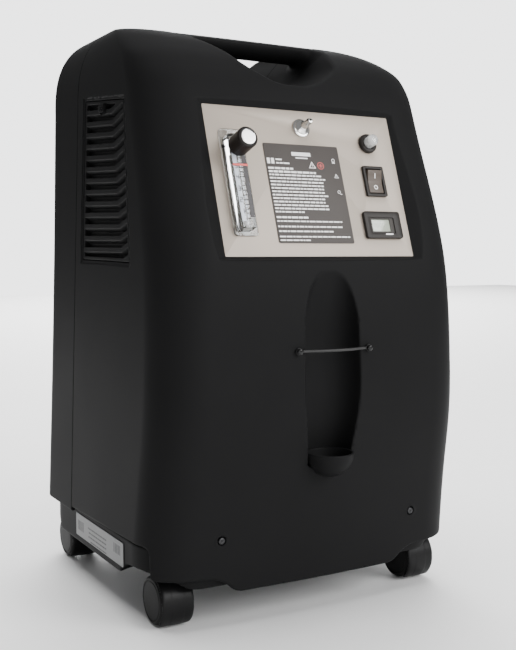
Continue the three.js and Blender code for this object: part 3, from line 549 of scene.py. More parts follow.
faint_digits = surface("faint_digits", (0.17, 0.19, 0.15), (0.21, 0.23, 0.19), rough=(0.3, 0.4), bump=0.02)
floor_pale = surface("floor_pale", (0.80, 0.80, 0.80), (0.83, 0.83, 0.83), rough=(0.6, 0.7), grain=60,
                     bump=0.02)


# ---------------------------------------------------------------- mesh helpers
Y_OUT = Matrix.Rotation(math.pi / 2, 4, "X")  # takes +Z to -Y, out of the panel or the front
Y_BACK = Matrix.Rotation(-math.pi / 2, 4, "X")  # takes +Z to +Y, out of the back
X_OUT = Matrix.Rotation(math.pi / 2, 4, "Y")  # takes +Z to +X
ROW_MM = Matrix.Scale(MM, 4)  # from millimetres of the row frame
RIM_PROFILE = 0.6  # a little fuller than a circle
PLANES = {"xz": lambda a, b, h: (a, h, b), "yz": lambda a, b, h: (h, a, b)}  # an outline's plane, h across it


def casing_matrix(x=0, y=0, z=0):
    """From millimetres about a point of the casing's frame to the row frame."""
    return Matrix.Translation((x * MM, (y + SHIFT_Y) * MM, z * MM)) @ ROW_MM


def panel_matrix():
    """From millimetres of the panel's frame (across, in, up the slope) to the row frame."""
    return casing_matrix(0, PANEL["y"], PANEL["z"]) @ Matrix.Rotation(-PANEL_LEAN, 4, "X")


def from_bmesh(name, bm, matrix, smooth_angle=40):
    bmesh.ops.recalc_face_normals(bm, faces=bm.faces)
    mesh = bpy.data.meshes.new(name)
    bm.to_mesh(mesh)
    bm.free()
    mesh.transform(matrix)
    mesh.polygons.foreach_set("use_smooth", np.ones(len(mesh.polygons), bool))
    mesh.set_sharp_from_angle(angle=math.radians(smooth_angle))
    obj = bpy.data.objects.new(name, mesh)
    bpy.context.scene.collection.objects.link(obj)
    return obj


def rounded_path(points, radius, steps=4, closed=True):
    """A 2-D path with its corners rounded. A point may carry a radius of its own as a third value."""
    n = len(points)
    path = []
    for i, point in enumerate(points):
        here = Vector(point[:2])
        if not closed and i in (0, n - 1):
            path.append(here)
            continue
        before, after = Vector(points[i - 1][:2]), Vector(points[(i + 1) % n][:2])
        r = point[2] if len(point) > 2 else radius
        r = min(r, (before - here).length * 0.48, (after - here).length * 0.48)
        if r <= 0:
            path.append(here)
            continue
        a, b = here + (before - here).normalized() * r, here + (after - here).normalized() * r
        for k in range(steps + 1):
            t = k / steps
            path.append(a * (1 - t) ** 2 + here * 2 * t * (1 - t) + b * t * t)
    return path


def lathe_into(bm, profile, turn=Matrix.Identity(4), segments=48):
    """Adds a turned solid to bm: profile is (radius, height) pairs, and turn takes Z to its axis."""
    rings = []
    for r, h in profile:
        if r < 1e-6:
            rings.append([bm.verts.new(turn @ Vector((0, 0, h)))])
            continue
        rings.append([bm.verts.new(turn @ Vector((r * math.cos(a), r * math.sin(a), h)))
                      for a in (2 * math.pi * k / segments for k in range(segments))])
    for low, high in zip(rings, rings[1:]):
        for k in range(segments):
            j = (k + 1) % segments
            if len(low) == 1 and len(high) == 1:
                continue
            if len(low) == 1:
                bm.faces.new((low[0], high[k], high[j]))
            elif len(high) == 1:
                bm.faces.new((low[k], high[0], low[j]))
            else:
                bm.faces.new((low[k], high[k], high[j], low[j]))


def turned_into(bm, profile, turn=Matrix.Identity(4), segments=48, radius=0.4, steps=3):
    """Adds a turned solid whose open profile has its corners rounded."""
    lathe_into(bm, rounded_path(profile, radius, steps, closed=False), turn, segments)


def slab_into(bm, outline, low, high, bevel=0.3, plane="xz", segments=2):
    """Adds an extruded outline with bevelled rims. plane says which two axes the outline lies in."""
    place = PLANES[plane]
    face = bm.faces.new([bm.verts.new(place(p[0], p[1], low)) for p in outline])
    made = bmesh.ops.extrude_face_region(bm, geom=[face])
    top = [v for v in made["geom"] if isinstance(v, bmesh.types.BMVert)]
    shift = Vector(place(0, 0, high - low))
    bmesh.ops.translate(bm, vec=shift, verts=top)
    if bevel > 0:
        top_set, base = set(top), set(face.verts)
        rims = [e for e in bm.edges if (e.verts[0] in top_set) == (e.verts[1] in top_set)
                and (set(e.verts) <= top_set or set(e.verts) <= base)]
        bmesh.ops.bevel(bm, geom=rims, offset=bevel, segments=segments, affect="EDGES", profile=RIM_PROFILE)


def box_outline(x0, x1, z0, z1, radius=0.0, steps=5):
    corners = [(x0, z0), (x1, z0), (x1, z1), (x0, z1)]
    return rounded_path(corners, radius, steps) if radius else [Vector(c) for c in corners]


def blocks_into(bm, rects, low, high, plane="xz"):
    for x0, x1, z0, z1 in rects:
        slab_into(bm, box_outline(x0, x1, z0, z1), low, high, 0, plane)


# ---------------------------------------------------------------- casing
def build_casing():
    edge_fine = [(84, 126, 1.6), (-126, -84, 1.6)]
    xs = spaced(-190, 190, STEP, [(-184, -162, 1.2), (105, 118, 1.2), (-118, -105, 1.2), *edge_fine])
    ys = spaced(-188, 74, STEP, [(66, 72, 0.6)])
    zs = spaced(26, 606, STEP * 1.2, [(28, 98, 1.8), (140, 172, 2), (330, 606, STEP * 0.85)])
    front = from_field("front_shell_skin", front_shell_field, xs, ys, zs, cased=True)
    settle_piece(front, "chassis", "casing", casing_black, "front_shell")
    xs = spaced(-190, 190, STEP * 1.1, [*edge_fine])
    ys = spaced(66, 190, STEP, [(66, 72, 0.6), (174, 184, 1.4)])
    zs = spaced(54, 606, STEP * 1.2, [(56, 84, 2), (106, 226, 1.6), (500, 606, STEP)])
    rear = from_field("rear_shell_skin", rear_shell_field, xs, ys, zs, cased=True)
    settle_piece(rear, "chassis", "casing", casing_black, "rear_shell")


GRIP = {"y": -2, "z": 583.2, "half_y": 20, "half_z": 13.8, "flare": 15.0, "sunk": 2.2}


def grip_field(F, x, y, z):
    """An oval bar across the channel that flares into both of its sides."""
    u, v = (y - GRIP["y"]) / GRIP["half_y"], (z - GRIP["z"]) / GRIP["half_z"]
    bar = (np.sqrt(u * u + v * v) - 1) * GRIP["half_z"]
    air = channel_air(x, z)
    body = smin(bar, air + 0.2 + 0 * y, GRIP["flare"])
    body = smax(body, -(air + GRIP["sunk"]), 0.4)
    body = np.maximum(body, bar - GRIP["flare"] * 0.86)
    return smax(body, F + 0.4, 2.0)


def build_grip():
    step = 1.5
    grip = from_field("handle_grip_bar", grip_field, spaced(-116, 116, step * 1.2), spaced(-42, 40, step),
                      spaced(542, 606, step), cased=True)
    settle_piece(grip, "chassis", "casing_dark", casing_deep, "handle_grip")


# ---------------------------------------------------------------- filter grille
SLATS = {"count": 14, "low": 350, "high": 516, "slot": 0.27, "lean": 0.095, "kink": 0.27, "pitch_in": 0.55}
GRILLE = {"gap": 0.6, "face": 1.6, "back": 8.6, "rim": 4.2, "slot_back": 7.2}
LATCH_SEAT = {"y": -1, "z": 503, "half_y": 8, "half_z": 6.5, "deep": 3.2, "round_z": 507, "round_r": 7}


def slat_height(y, z):
    """Height along the fan of slats: parallel to the top rim above, level below, kinked up in front."""
    share = (z - SLATS["low"]) / (SLATS["high"] - SLATS["low"])
    kink_y = -60 + 40 * share
    lean = SLATS["lean"] * share
    behind, ahead = np.maximum(y - kink_y, 0), np.maximum(kink_y - y, 0)
    return z - lean * behind - SLATS["kink"] * ahead + lean * 45


def grille_field(F, x, y, z):
    vent = polygon(VENT, y, z) + 0 * x
    body = smax(smax(vent + GRILLE["gap"], F + GRILLE["face"], 0.8), -(F + GRILLE["back"]), 0.6)
    pitch = (SLATS["high"] - SLATS["low"]) / SLATS["count"]
    tilted = slat_height(y, z) - SLATS["pitch_in"] * (F + GRILLE["face"])
    phase = (tilted - SLATS["low"]) / pitch
    slot = np.abs(phase - np.floor(phase) - 0.5) * pitch - SLATS["slot"] * pitch
    seat_at, beside = LATCH_SEAT["z"], y - LATCH_SEAT["y"]
    round_seat = LATCH_SEAT["round_r"] - np.hypot(beside, z - LATCH_SEAT["round_z"])
    window = smax(vent + GRILLE["rim"], round_seat, 1.0)
    opening = smax(slot, window, 0.9)
    body = smax(body, -smax(opening, -(F + GRILLE["slot_back"]), 0.3), 0.8)
    seat = np.maximum(np.abs(beside) - LATCH_SEAT["half_y"], np.abs(z - seat_at) - LATCH_SEAT["half_z"])
    return smax(body, -np.maximum(seat, -(F + LATCH_SEAT["deep"])), 0.5)


def build_grille():
    step = 1.1
    grille = from_field("filter_grille_louvres", grille_field, spaced(-184, -158, step * 0.9),
                        spaced(-86, 54, step * 1.25), spaced(345, 523, step), cased=True, relax=1)
    settle_piece(grille, "grille", "casing_dark", casing_deep, "filter_grille")
    low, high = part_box("grille_latch")
    latch_place = Matrix.Translation((low + high) / 2) @ ROW_MM
    bm = bmesh.new()
    slab_into(bm, box_outline(-7.3, 7.3, -3.9, 3.9, 1.2), -2.3, 2.3, 0.5, "yz")
    for z in (-1.6, 0.2, 2.0):
        slab_into(bm, box_outline(-4.6, 4.6, z - 0.45, z + 0.45, 0.3), -2.9, -1.5, 0.2, "yz")
    latch = from_bmesh("grille_latch_tab", bm, latch_place)
    settle_piece(latch, "latch", "casing_dark", casing_deep, "grille_latch")
    low, high = (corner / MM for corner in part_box("foam_filter"))
    bm = bmesh.new()
    slab_into(bm, box_outline(low.y, high.y, low.z, high.z, 5), low.x, high.x, 1.5, "yz", 3)
    pad = from_bmesh("foam_filter_pad", bm, ROW_MM)
    settle_piece(pad, "chassis", "foam", foam, "foam_filter")


# ---------------------------------------------------------------- base
CASTER_X, CASTER_REAR_Y = 146, 158
BASE = {"half": 176, "front": -146, "rear": 172, "corner": 56, "low": 40, "high": 80, "wall": 5,
        "block_r": 50}
BAY = {"r": 46, "z": 36, "rise": 24, "stem_r": 5.4, "stem_top": 76}


def base_field(F, x, y, z):
    mid_y, half_y = (BASE["front"] + BASE["rear"]) / 2, (BASE["rear"] - BASE["front"]) / 2
    c = BASE["corner"]
    u = np.maximum(np.abs(x) - BASE["half"] + c, 0)
    v = np.maximum(np.abs(y - mid_y) - half_y + c, 0)
    inner = np.maximum(np.abs(x) - BASE["half"] + c, np.abs(y - mid_y) - half_y + c)
    outline = np.where(inner > 0, np.sqrt(u * u + v * v), inner) - c
    mid_z, half_z = (BASE["low"] + BASE["high"]) / 2, (BASE["high"] - BASE["low"]) / 2
    body = smax(outline, np.abs(z - mid_z) - half_z, 4)
    hollow = np.maximum(outline + BASE["wall"], BASE["low"] + BASE["wall"] - z)
    reaches = [np.sqrt((np.abs(x) - CASTER_X) ** 2 + (y - at) ** 2) for at in (CASTER_FRONT_Y, CASTER_REAR_Y)]
    for reach in reaches:
        hollow = np.maximum(hollow, BASE["block_r"] - reach)
    body = smax(body, -hollow, 1.0)
    for reach in reaches:
        dome = (np.sqrt((reach / BAY["r"]) ** 2 + ((z - BAY["z"]) / BAY["rise"]) ** 2) - 1) * BAY["rise"]
        body = smax(body, -dome, 3.0)
        body = smax(body, -np.maximum(reach - BAY["stem_r"], z - BAY["stem_top"]), 0.4)
    return body


def build_base():
    step = 2.4
    base = from_field("base_pan_moulding", base_field, spaced(-182, 182, step), spaced(-152, 178, step),
                      spaced(34, 84, step * 0.8))
    settle_piece(base, "chassis", "casing_dark", casing_deep, "base_pan")


# ---------------------------------------------------------------- printed marks
def word_rows(rng, left, right, top, rows, pitch, height, gap=1.1):
    """Rows of short plain bars that fill a stretch like printed matter, with a ragged right end."""
    rects = []
    for row in range(rows):
        z1 = top - row * pitch
        end = right - rng.uniform(0, 0.12) * (right - left)
        x = left
        while x < end - 2:
            width = min(rng.uniform(2.0, 7.5), end - x)
            rects.append((x, x + width, z1 - height, z1))
            x += width + gap
    return rects


def build_rating_label():
    low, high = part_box("rating_label")
    y0, y1, z0, z1 = low.y / MM + 3, high.y / MM, low.z / MM + 4.5, high.z / MM
    x0, x1 = low.x / MM, high.x / MM
    bm = bmesh.new()
    slab_into(bm, box_outline(y0, y1, z0, z1, 1.5), x0, x1, 0.15, "yz", 1)
    film = from_bmesh("rating_label_film", bm, ROW_MM)
    settle_piece(film, "chassis", "paper_label", sticker, "rating_label")
    rng = np.random.default_rng(3)
    bm = bmesh.new()
    rects = word_rows(rng, y0 + 46, y0 + 100, z1 - 8, 4, 4.6, 1.6, 0.9)
    for i in range(7):
        left = y0 + 8 + 2.6 * i
        rects.append((left, left + rng.uniform(0.7, 1.7), z0 + 10, z1 - 5))
    for i in range(8):
        left = y1 - 24 + 2.4 * i
        rects.append((left, left + rng.uniform(0.6, 1.6), z0 + 7, z1 - 7))
    blocks_into(bm, rects, x0 - 0.06, x0 + 0.05, "yz")
    marks = from_bmesh("rating_label_bars", bm, ROW_MM)
    settle_piece(marks, "chassis", "paper_label", sticker_print)


# ---------------------------------------------------------------- bottle holder
CUP = {"y": -171, "z": 164, "r": 24, "wall": 2.4, "floor": 149}
PEG = {"x": 40.4, "z": 265.6, "y": -176.4}


def build_cup():
    r, wall, depth = CUP["r"], CUP["wall"], CUP["z"] - CUP["floor"]
    profile = [(r * math.sin(a), -r * math.cos(a)) for a in (math.pi / 2 * i / 16 for i in range(16))]
    profile += [(r + 0.3, -0.6), (r - 0.4, 0.5), (r - wall + 0.3, 0.4), (r - wall - 0.2, -1.2),
                (r - wall - 0.8, -depth * 0.5), (r - wall - 4, -depth + 2.2, 2), (r - wall - 7, -depth),
                (0, -depth)]
    bm = bmesh.new()
    turned_into(bm, profile, segments=72)
    cup = from_bmesh("bottle_cup_bowl", bm, casing_matrix(0, CUP["y"], CUP["z"]), 60)
    settle_piece(cup, "chassis", "casing", casing_black, "bottle_cup")


def build_strap():
    """An oval band bowed forward between the pegs, with an eye round each."""
    end = PEG["x"] - 1.5
    bow = [(-end, -2.6), (-28, -5.0), (-15, -8.2), (0, -9.4), (15, -8.2), (28, -5.0), (end, -2.6)]
    stations, sides = 41, 12
    line = smooth_line(bow, stations)
    bm = bmesh.new()
    half_w, half_t = 1.35, 0.8
    angles = [2 * math.pi * k / sides for k in range(sides)]
    section = [(half_t * math.cos(a), half_w * math.sin(a)) for a in angles]
    rings = []
    for i in range(stations):
        j, k = max(i - 1, 0), min(i + 1, stations - 1)
        along = Vector((line[0][k] - line[0][j], line[1][k] - line[1][j], 0)).normalized()
        out = Vector((-along.y, along.x, 0))
        centre = Vector((line[0][i], line[1][i] + PEG["y"], PEG["z"]))
        rings.append([bm.verts.new(centre + out * a + Vector((0, 0, b))) for a, b in section])
    for low, high in zip(rings, rings[1:]):
        for k in range(sides):
            j = (k + 1) % sides
            bm.faces.new((low[k], high[k], high[j], low[j]))
    bm.faces.new(rings[0][::-1])
    bm.faces.new(rings[-1])
    for side in (-1, 1):
        eye = Matrix.Translation((side * PEG["x"], PEG["y"] - 1.7, PEG["z"])) @ Y_OUT
        lathe_into(bm, rounded_path([(2.2, 0), (3.5, 0), (3.5, 1.9), (2.2, 1.9), (2.2, 0)], 0.4, 3), eye, 32)
    strap = from_bmesh("retaining_strap_band", bm, casing_matrix(), 60)
    settle_piece(strap, "chassis", "rubber", rubber, "retaining_strap")


def build_pegs():
    profile = [(0, -6), (2.0, -6), (2.0, 3.8), (3.2, 4.0), (3.2, 5.6), (2.0, 6.4), (0, 6.6)]
    for side, word in ((-1, "left"), (1, "right")):
        bm = bmesh.new()
        turned_into(bm, profile, Y_OUT, 32, 0.5)
        peg = from_bmesh(f"strap_peg_{word}_button", bm, casing_matrix(side * PEG["x"], PEG["y"], PEG["z"]))
        settle_piece(peg, "chassis", "gloss_black", gloss_black, f"strap_peg_{word}")


def build_screw(name, turn):
    """A domed head with a raised cross on a plain shank; the head's outer face is at height 0."""
    deep = 12
    head = [(0, -0.5), (1.0, -0.5), (1.5, -0.12), (3.0, -0.5), (3.6, -1.3), (3.5, -2.4), (1.9, -2.6),
            (1.9, -deep), (0, -deep - 1)]
    bm = bmesh.new()
    turned_into(bm, head, turn, 32, 0.3)
    bar = Matrix.Translation((0, 0, -0.36)) @ Matrix.Diagonal((3.6, 0.7, 0.3, 1))
    for a in (0, math.pi / 2):
        bmesh.ops.create_cube(bm, size=1.0, matrix=turn @ Matrix.Rotation(a, 4, "Z") @ bar)
    low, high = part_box(name)
    face_y = low.y if turn is Y_OUT else high.y
    centre = Matrix.Translation(((low.x + high.x) / 2, face_y, (low.z + high.z) / 2)) @ ROW_MM
    settle_piece(from_bmesh(f"{name}_head", bm, centre), "chassis", "steel", screw_steel, name)


def build_screws():
    for word in ("left", "right"):
        build_screw(f"front_screw_{word}", Y_OUT)
    for i in range(1, 5):
        build_screw(f"rear_screw_{i}", Y_BACK)


# ---------------------------------------------------------------- control panel (panel frame, mm)
PLATE_FRONT = -0.3  # pieces on the plate stand this far in front of its face
FLOW = {"x": -86, "tube_y": -8, "bore": 3.4, "front": -14, "ball_r": 3}
KNOB = {"z": 104.5, "r": 10.5, "front": -36.5, "back": -14.6, "cap_r": 7.9, "ribs": 30, "rib_depth": 0.020}
OUTLET = {"x": -1.2, "z": 134.7}
BREAKER = {"x": 77, "z": 122, "ring_r": 10.3, "boot_r": 6}
SWITCH = {"x": 76.75, "z": 80.35, "half_x": 12.75, "half_z": 16.35, "hole_x": 9.4, "hole_z": 13.4, "tilt": 8}
METER = {"x": 76, "z": 32.65, "half_x": 22.5, "half_z": 14.35}
LABEL = {"x0": -49, "x1": 38, "z0": 13.5, "z1": 116.5}


def holed_slab_into(bm, outline, holes, low, high, bevel=0.3):
    """Adds an extruded upright outline with holes through it and bevelled rims."""
    place = PLANES["xz"]
    edges = []
    for loop in [outline, *holes]:
        ring = [bm.verts.new(place(p[0], p[1], low)) for p in loop]
        edges += [bm.edges.new((a, b)) for a, b in zip(ring, ring[1:] + ring[:1])]
    filled = bmesh.ops.triangle_fill(bm, use_beauty=True, use_dissolve=False, edges=edges)
    faces = [g for g in filled["geom"] if isinstance(g, bmesh.types.BMFace)]
    base = {v for f in faces for v in f.verts}
    made = bmesh.ops.extrude_face_region(bm, geom=faces, use_keep_orig=True)
    top = {v for v in made["geom"] if isinstance(v, bmesh.types.BMVert)}
    bmesh.ops.translate(bm, vec=Vector(place(0, 0, high - low)), verts=list(top))
    bmesh.ops.recalc_face_normals(bm, faces=bm.faces)
    if bevel > 0:
        rims = []
        for e in bm.edges:
            level = set(e.verts) <= top or set(e.verts) <= base
            if level and len(e.link_faces) == 2 and e.link_faces[0].normal.dot(e.link_faces[1].normal) < 0.5:
                rims.append(e)
        bmesh.ops.bevel(bm, geom=rims, offset=bevel, segments=2, affect="EDGES", profile=RIM_PROFILE)


def ring_outline(x, z, r, count=40):
    return [Vector((x + r * math.cos(2 * math.pi * k / count), z + r * math.sin(2 * math.pi * k / count)))
            for k in range(count)]


def panel_piece(name, bm, body, slot, material, *nodes):
    return settle_piece(from_bmesh(name, bm, panel_matrix()), body, slot, material, *nodes)


def box_round(centre, half_x, half_z, radius, steps=5):
    """A rounded box outline about the centre of a panel part."""
    x, z = centre["x"], centre["z"]
    return box_outline(x - half_x, x + half_x, z - half_z, z + half_z, radius, steps)


def build_plate():
    bm = bmesh.new()
    holes = [box_round(SWITCH, 11.2, 14.3, 1, 3), box_round(METER, 19.4, 11.4, 1, 3),
             ring_outline(OUTLET["x"], OUTLET["z"], 5), ring_outline(BREAKER["x"], BREAKER["z"], 7.6)]
    outline = box_outline(-PANEL["half"], PANEL["half"], 0, PANEL["height"], 1.5, 4)
    holed_slab_into(bm, outline, holes, 0, PANEL["thick"], 0.45)
    panel_piece("control_panel_plate", bm, "chassis", "plate", plate_paint, "control_panel")


def triangle_into(bm, x, z, size, low, high):
    """An upright triangle outline: three bars and a dot."""
    a, b, c = Vector((x - size / 2, z)), Vector((x + size / 2, z)), Vector((x, z + size * 0.88))
    half = size * 0.055
    for p, q in ((a, b), (b, c), (c, a)):
        along = (q - p).normalized() * half
        out = Vector((-along.y, along.x))
        slab_into(bm, [p - along - out, q + along - out, q + along + out, p - along + out], low, high, 0)
    blocks_into(bm, [(x - half, x + half, z + size * 0.22, z + size * 0.55)], low, high)


def hoop_into(bm, x, z, r, width, low, high, count=28):
    turn = Matrix.Translation((x, 0, z)) @ Y_OUT
    square = [(r - width, -low), (r, -low), (r, -high), (r - width, -high)]
    lathe_into(bm, square + square[:1], turn, count)


LABEL_LEFT = LABEL["x0"] + 1.6
LABEL_BARS = [(-18, 4, 104.4, 108.2), (-14, 0, 101.6, 102.8), (LABEL_LEFT, LABEL_LEFT + 3.2, 95, 100.8),
              (LABEL_LEFT + 4.6, LABEL_LEFT + 8, 95, 100.8)]
# left and right end, top, rows, their pitch, bar height, gap between bars
LABEL_ROWS = [(-37.5, -28, 100.4, 1, 4, 1.5, 0.7), (-37.5, -19, 96.7, 1, 4, 1.5, 0.7),
              (LABEL_LEFT, -17, 91.4, 1, 4, 2.0, 0.9), (LABEL_LEFT, 10, 87.9, 1, 4, 2.0, 0.9),
              (LABEL_LEFT, 18, 84.3, 11, 3.48, 1.55, 0.85), (LABEL_LEFT, -13, 46.0, 1, 4, 1.5, 0.8),
              (LABEL_LEFT, -8, 40.6, 1, 4, 1.9, 0.8), (LABEL_LEFT, 35, 36.4, 1, 4, 1.4, 0.8),
              (LABEL_LEFT, 27, 31.0, 1, 4, 1.5, 0.8), (LABEL_LEFT, 20, 26.2, 1, 4, 1.5, 0.8),
              (LABEL_LEFT, 37, 20.7, 1, 4, 1.4, 0.8), (LABEL_LEFT, -12, 17.0, 1, 4, 1.3, 0.8)]


def build_label():
    film = bmesh.new()
    outline = box_outline(LABEL["x0"], LABEL["x1"], LABEL["z0"], LABEL["z1"], 1.6)
    slab_into(film, outline, -0.8, PLATE_FRONT, 0.15)
    panel_piece("panel_label_film", film, "chassis", "label_ink", label_film, "panel_label")
    low, high = -0.86, -0.74
    rng = np.random.default_rng(7)
    rects = list(LABEL_BARS)
    for row in LABEL_ROWS:
        rects += word_rows(rng, *row)
    marks = bmesh.new()
    blocks_into(marks, rects, low, high)
    triangle_into(marks, 4, 92.3, 7, low, high)
    hoop_into(marks, 30.2, 101.4, 1.9, 0.55, low, high)
    blocks_into(marks, [(28.4, 32.0, 98.3, 99.3)], low, high)
    triangle_into(marks, 30.8, 82.8, 4.4, low, high)
    hoop_into(marks, 30.6, 67.6, 1.7, 0.5, low, high)
    blocks_into(marks, [(31.8, 33.8, 64.9, 65.6)], low, high)
    panel_piece("panel_label_bars", marks, "chassis", "label_ink", print_white)
    red = bmesh.new()
    hoop_into(red, 14, 95, 3.9, 0.7, low, high)
    blocks_into(red, [(11.4, 16.6, 94.6, 95.4), (13.3, 14.7, 93, 97)], low, high)
    panel_piece("panel_label_ring", red, "chassis", "label_ink", print_red)


SEGMENTS = {"1": "bc", "2": "abged", "3": "abgcd", "4": "fgbc", "5": "afgcd"}


def digit_rects(mark, x, z, tall):
    """A numeral drawn with straight strokes, centred at (x, z)."""
    w, h, t = tall * 0.28, tall / 2, tall * 0.09
    strokes = {"a": (-w, w, h - t, h + t), "d": (-w, w, -h - t, -h + t), "g": (-w, w, -t, t),
               "b": (w - t, w + t, 0, h), "c": (w - t, w + t, -h, 0), "f": (-w - t, -w + t, 0, h),
               "e": (-w - t, -w + t, -h, 0)}
    wanted = [strokes[letter] for letter in SEGMENTS[mark]]
    return [(x + a, x + b, z + c, z + d) for a, b, c, d in wanted]


def join_into(target, other):
    """Moves the faces of one object into another, keeping the other's normals as they are."""
    bm = bmesh.new()
    bm.from_mesh(target.data)
    bm.from_mesh(other.data)
    bm.to_mesh(target.data)
    bm.free()
    bpy.data.objects.remove(other)


def build_flow_block():
    """The clear block on its foot plate, with the float's bore in it."""
    x, tube_y, bore = FLOW["x"], FLOW["tube_y"], FLOW["bore"]
    clear = bmesh.new()
    slab_into(clear, box_outline(-96.5, -71, 20, 128, 4), -2.3, PLATE_FRONT, 0.5)
    slab_into(clear, box_outline(x - 8, x + 8, 24, 118, 2.5), FLOW["front"], -2.4, 0.9, segments=3)
    body = panel_piece("flowmeter_block", clear, "chassis", "acrylic", acrylic, "flowmeter_body")
    bore_bm = bmesh.new()
    axis = Matrix.Translation((x, tube_y, 0))
    lathe_into(bore_bm, [(0, 26.8), (bore, 26.8), (bore, 98), (0, 98)], axis, 40)
    hollow = from_bmesh("flowmeter_bore", bore_bm, panel_matrix())
    hollow.data.flip_normals()
    join_into(body, hollow)


SCALE = {"count": 13, "pitch": 4.6, "pale_z": 34, "dark_z": 32.3}


def build_flow_scale():
    """Printed on the block's front: a pale strip with numerals, a dark one with slants, bars between; the
    pale bars down the bore's centre are a painted highlight of the tube.
    """
    x, face = FLOW["x"], FLOW["front"]
    low, high = face - 0.06, face + 0.05
    pale_marks = bmesh.new()
    slab_into(pale_marks, box_outline(x - 7.2, x - 2.9, 30, 99, 0.6), low, high, 0)
    # Pale bars down the centre line over the bore: a painted highlight of the tube, broken by the dark ticks.
    for k in range(SCALE["count"]):
        z = SCALE["pale_z"] + SCALE["pitch"] * k
        blocks_into(pale_marks, [(x - 0.75, x + 0.75, z, z + 3.1)], low, high)
    blocks_into(pale_marks, [(x - 0.75, x + 0.75, 93.6, 99.5)], low, high)
    panel_piece("flowmeter_pale_print_and_bore_highlight", pale_marks, "chassis", "white_plastic", pale_print_and_highlight)
    dark = bmesh.new()
    slab_into(dark, box_outline(x + 2.4, x + 7.0, 34, 99, 0.6), low, high, 0)
    for k in range(SCALE["count"]):
        z = SCALE["dark_z"] + SCALE["pitch"] * k
        blocks_into(dark, [(x - 1.9, x + 2.4, z, z + 0.9)], low, high)
    panel_piece("flowmeter_scale_dark", dark, "chassis", "label_ink", scale_grey)
    ticks = bmesh.new()
    rects = []
    for k in range(5):
        z = 40 + 11.2 * k
        rects += digit_rects("12345"[k], x - 5.0, z, 4.4)
        rects += [(x - 2.9, x - 1.2, z - 0.45, z + 0.45)]
    blocks_into(ticks, rects, face - 0.16, face - 0.04)
    for k in range(12):
        z = 38 + 4.6 * k
        slant = [(2.8, 0), (6.6, -1.5), (6.6, -0.5), (2.8, 1.0)]
        slab_into(ticks, [Vector((x + dx, z + dz)) for dx, dz in slant], face - 0.16, face - 0.04, 0)
    panel_piece("flowmeter_scale_marks", ticks, "chassis", "gloss_black", dark_print_and_reflection)


def build_flow_fittings():
    """The bore's plug, the foot's disc, a side screw, the red marker line and the float ball."""
    x, tube_y, face = FLOW["x"], FLOW["tube_y"], FLOW["front"]
    fittings = bmesh.new()
    plug = Matrix.Translation((x, tube_y, 24.6))
    turned_into(fittings, [(0, -0.4), (4.6, -0.4), (4.6, 1.2), (2.6, 2.0), (0, 2.0)], plug, 32)
    foot = Matrix.Translation((x + 1.5, -1.7, 25.5)) @ Y_OUT
    turned_into(fittings, [(0, -0.3), (5.2, -0.3), (5.2, 0.45), (0, 0.55)], foot, 36, 0.2, 2)
    panel_piece("flowmeter_fittings", fittings, "chassis", "white_plastic", filter_white)
    stub = bmesh.new()
    side = Matrix.Translation((-96.0, -3.6, 108.8)) @ X_OUT
    turned_into(stub, [(0, 0), (1.0, 0), (1.0, 5.6), (0.4, 6.0), (0, 6.0)], side, 20, 0.2, 2)
    turned_into(stub, [(0, -0.2), (1.7, -0.2), (1.7, 1.2), (0, 1.2)], side, 20, 0.2, 2)
    panel_piece("flowmeter_side_screw", stub, "chassis", "gloss_black", gloss_black)
    marker = bmesh.new()
    slab_into(marker, box_outline(x - 8, x + 8, 85, 87, 0.3), face - 0.6, face - 0.3, 0.1)
    panel_piece("flow_marker_line", marker, "chassis", "red", marker_red, "flow_marker")
    ball = bmesh.new()
    bmesh.ops.create_uvsphere(ball, u_segments=40, v_segments=24, radius=FLOW["ball_r"],
                              matrix=Matrix.Translation((x, tube_y, 30)))
    panel_piece("float_ball_bead", ball, "float", "steel", bright_cap, "float_ball")


def build_knob():
    x, z, r, cap_r, ribs = FLOW["x"], KNOB["z"], KNOB["r"], KNOB["cap_r"], KNOB["ribs"]
    deep = KNOB["back"] - KNOB["front"]
    place = Matrix.Translation((x, KNOB["back"], z)) @ Y_OUT
    bm = bmesh.new()
    profile = [(0, 0), (r - 0.5, 0), (r - 0.25, 1.4), (r, 2.2), (r, deep - 1.2), (r - 1.0, deep - 0.1),
               (cap_r + 0.25, deep - 0.1), (cap_r + 0.2, deep - 1.6), (0, deep - 1.6)]
    turned_into(bm, profile, segments=ribs * 6)
    for v in bm.verts:
        if v.co.xy.length > r - 0.45 and 2.2 < v.co.z < deep - 1.5:
            wave = 0.5 + 0.5 * math.cos(math.atan2(v.co.y, v.co.x) * ribs)
            v.co.xy *= 1 - KNOB["rib_depth"] * wave
    bm.transform(place)
    panel_piece("flow_knob_barrel", bm, "knob", "gloss_black", knob_black, "flow_knob")
    cap = bmesh.new()
    profile = [(0, deep - 1.3), (cap_r, deep - 1.3), (cap_r, deep + 0.9), (cap_r - 0.8, deep + 1.3),
               (0, deep + 1.0)]
    turned_into(cap, profile, place, 64, 0.35)
    panel_piece("flow_knob_cap_disc", cap, "knob", "chrome", bright_cap, "flow_knob_cap")
    # A dark arc laid on the cap's top right: a painted reflection, not print.
    arc = bmesh.new()
    outer, inner, steps = [], [], 20
    for k in range(steps + 1):
        a = math.radians(28 + 74 * k / steps)
        r_in = 6.75 - 0.62 * math.sin(math.pi * k / steps)
        outer.append(Vector((x + 6.9 * math.cos(a), z + 6.9 * math.sin(a))))
        inner.append(Vector((x + r_in * math.cos(a), z + r_in * math.sin(a))))
    slab_into(arc, outer + inner[::-1], KNOB["front"] - 1.55, KNOB["front"] - 0.9, 0)
    panel_piece("flow_knob_cap_painted_reflection", arc, "knob", "gloss_black", dark_print_and_reflection)


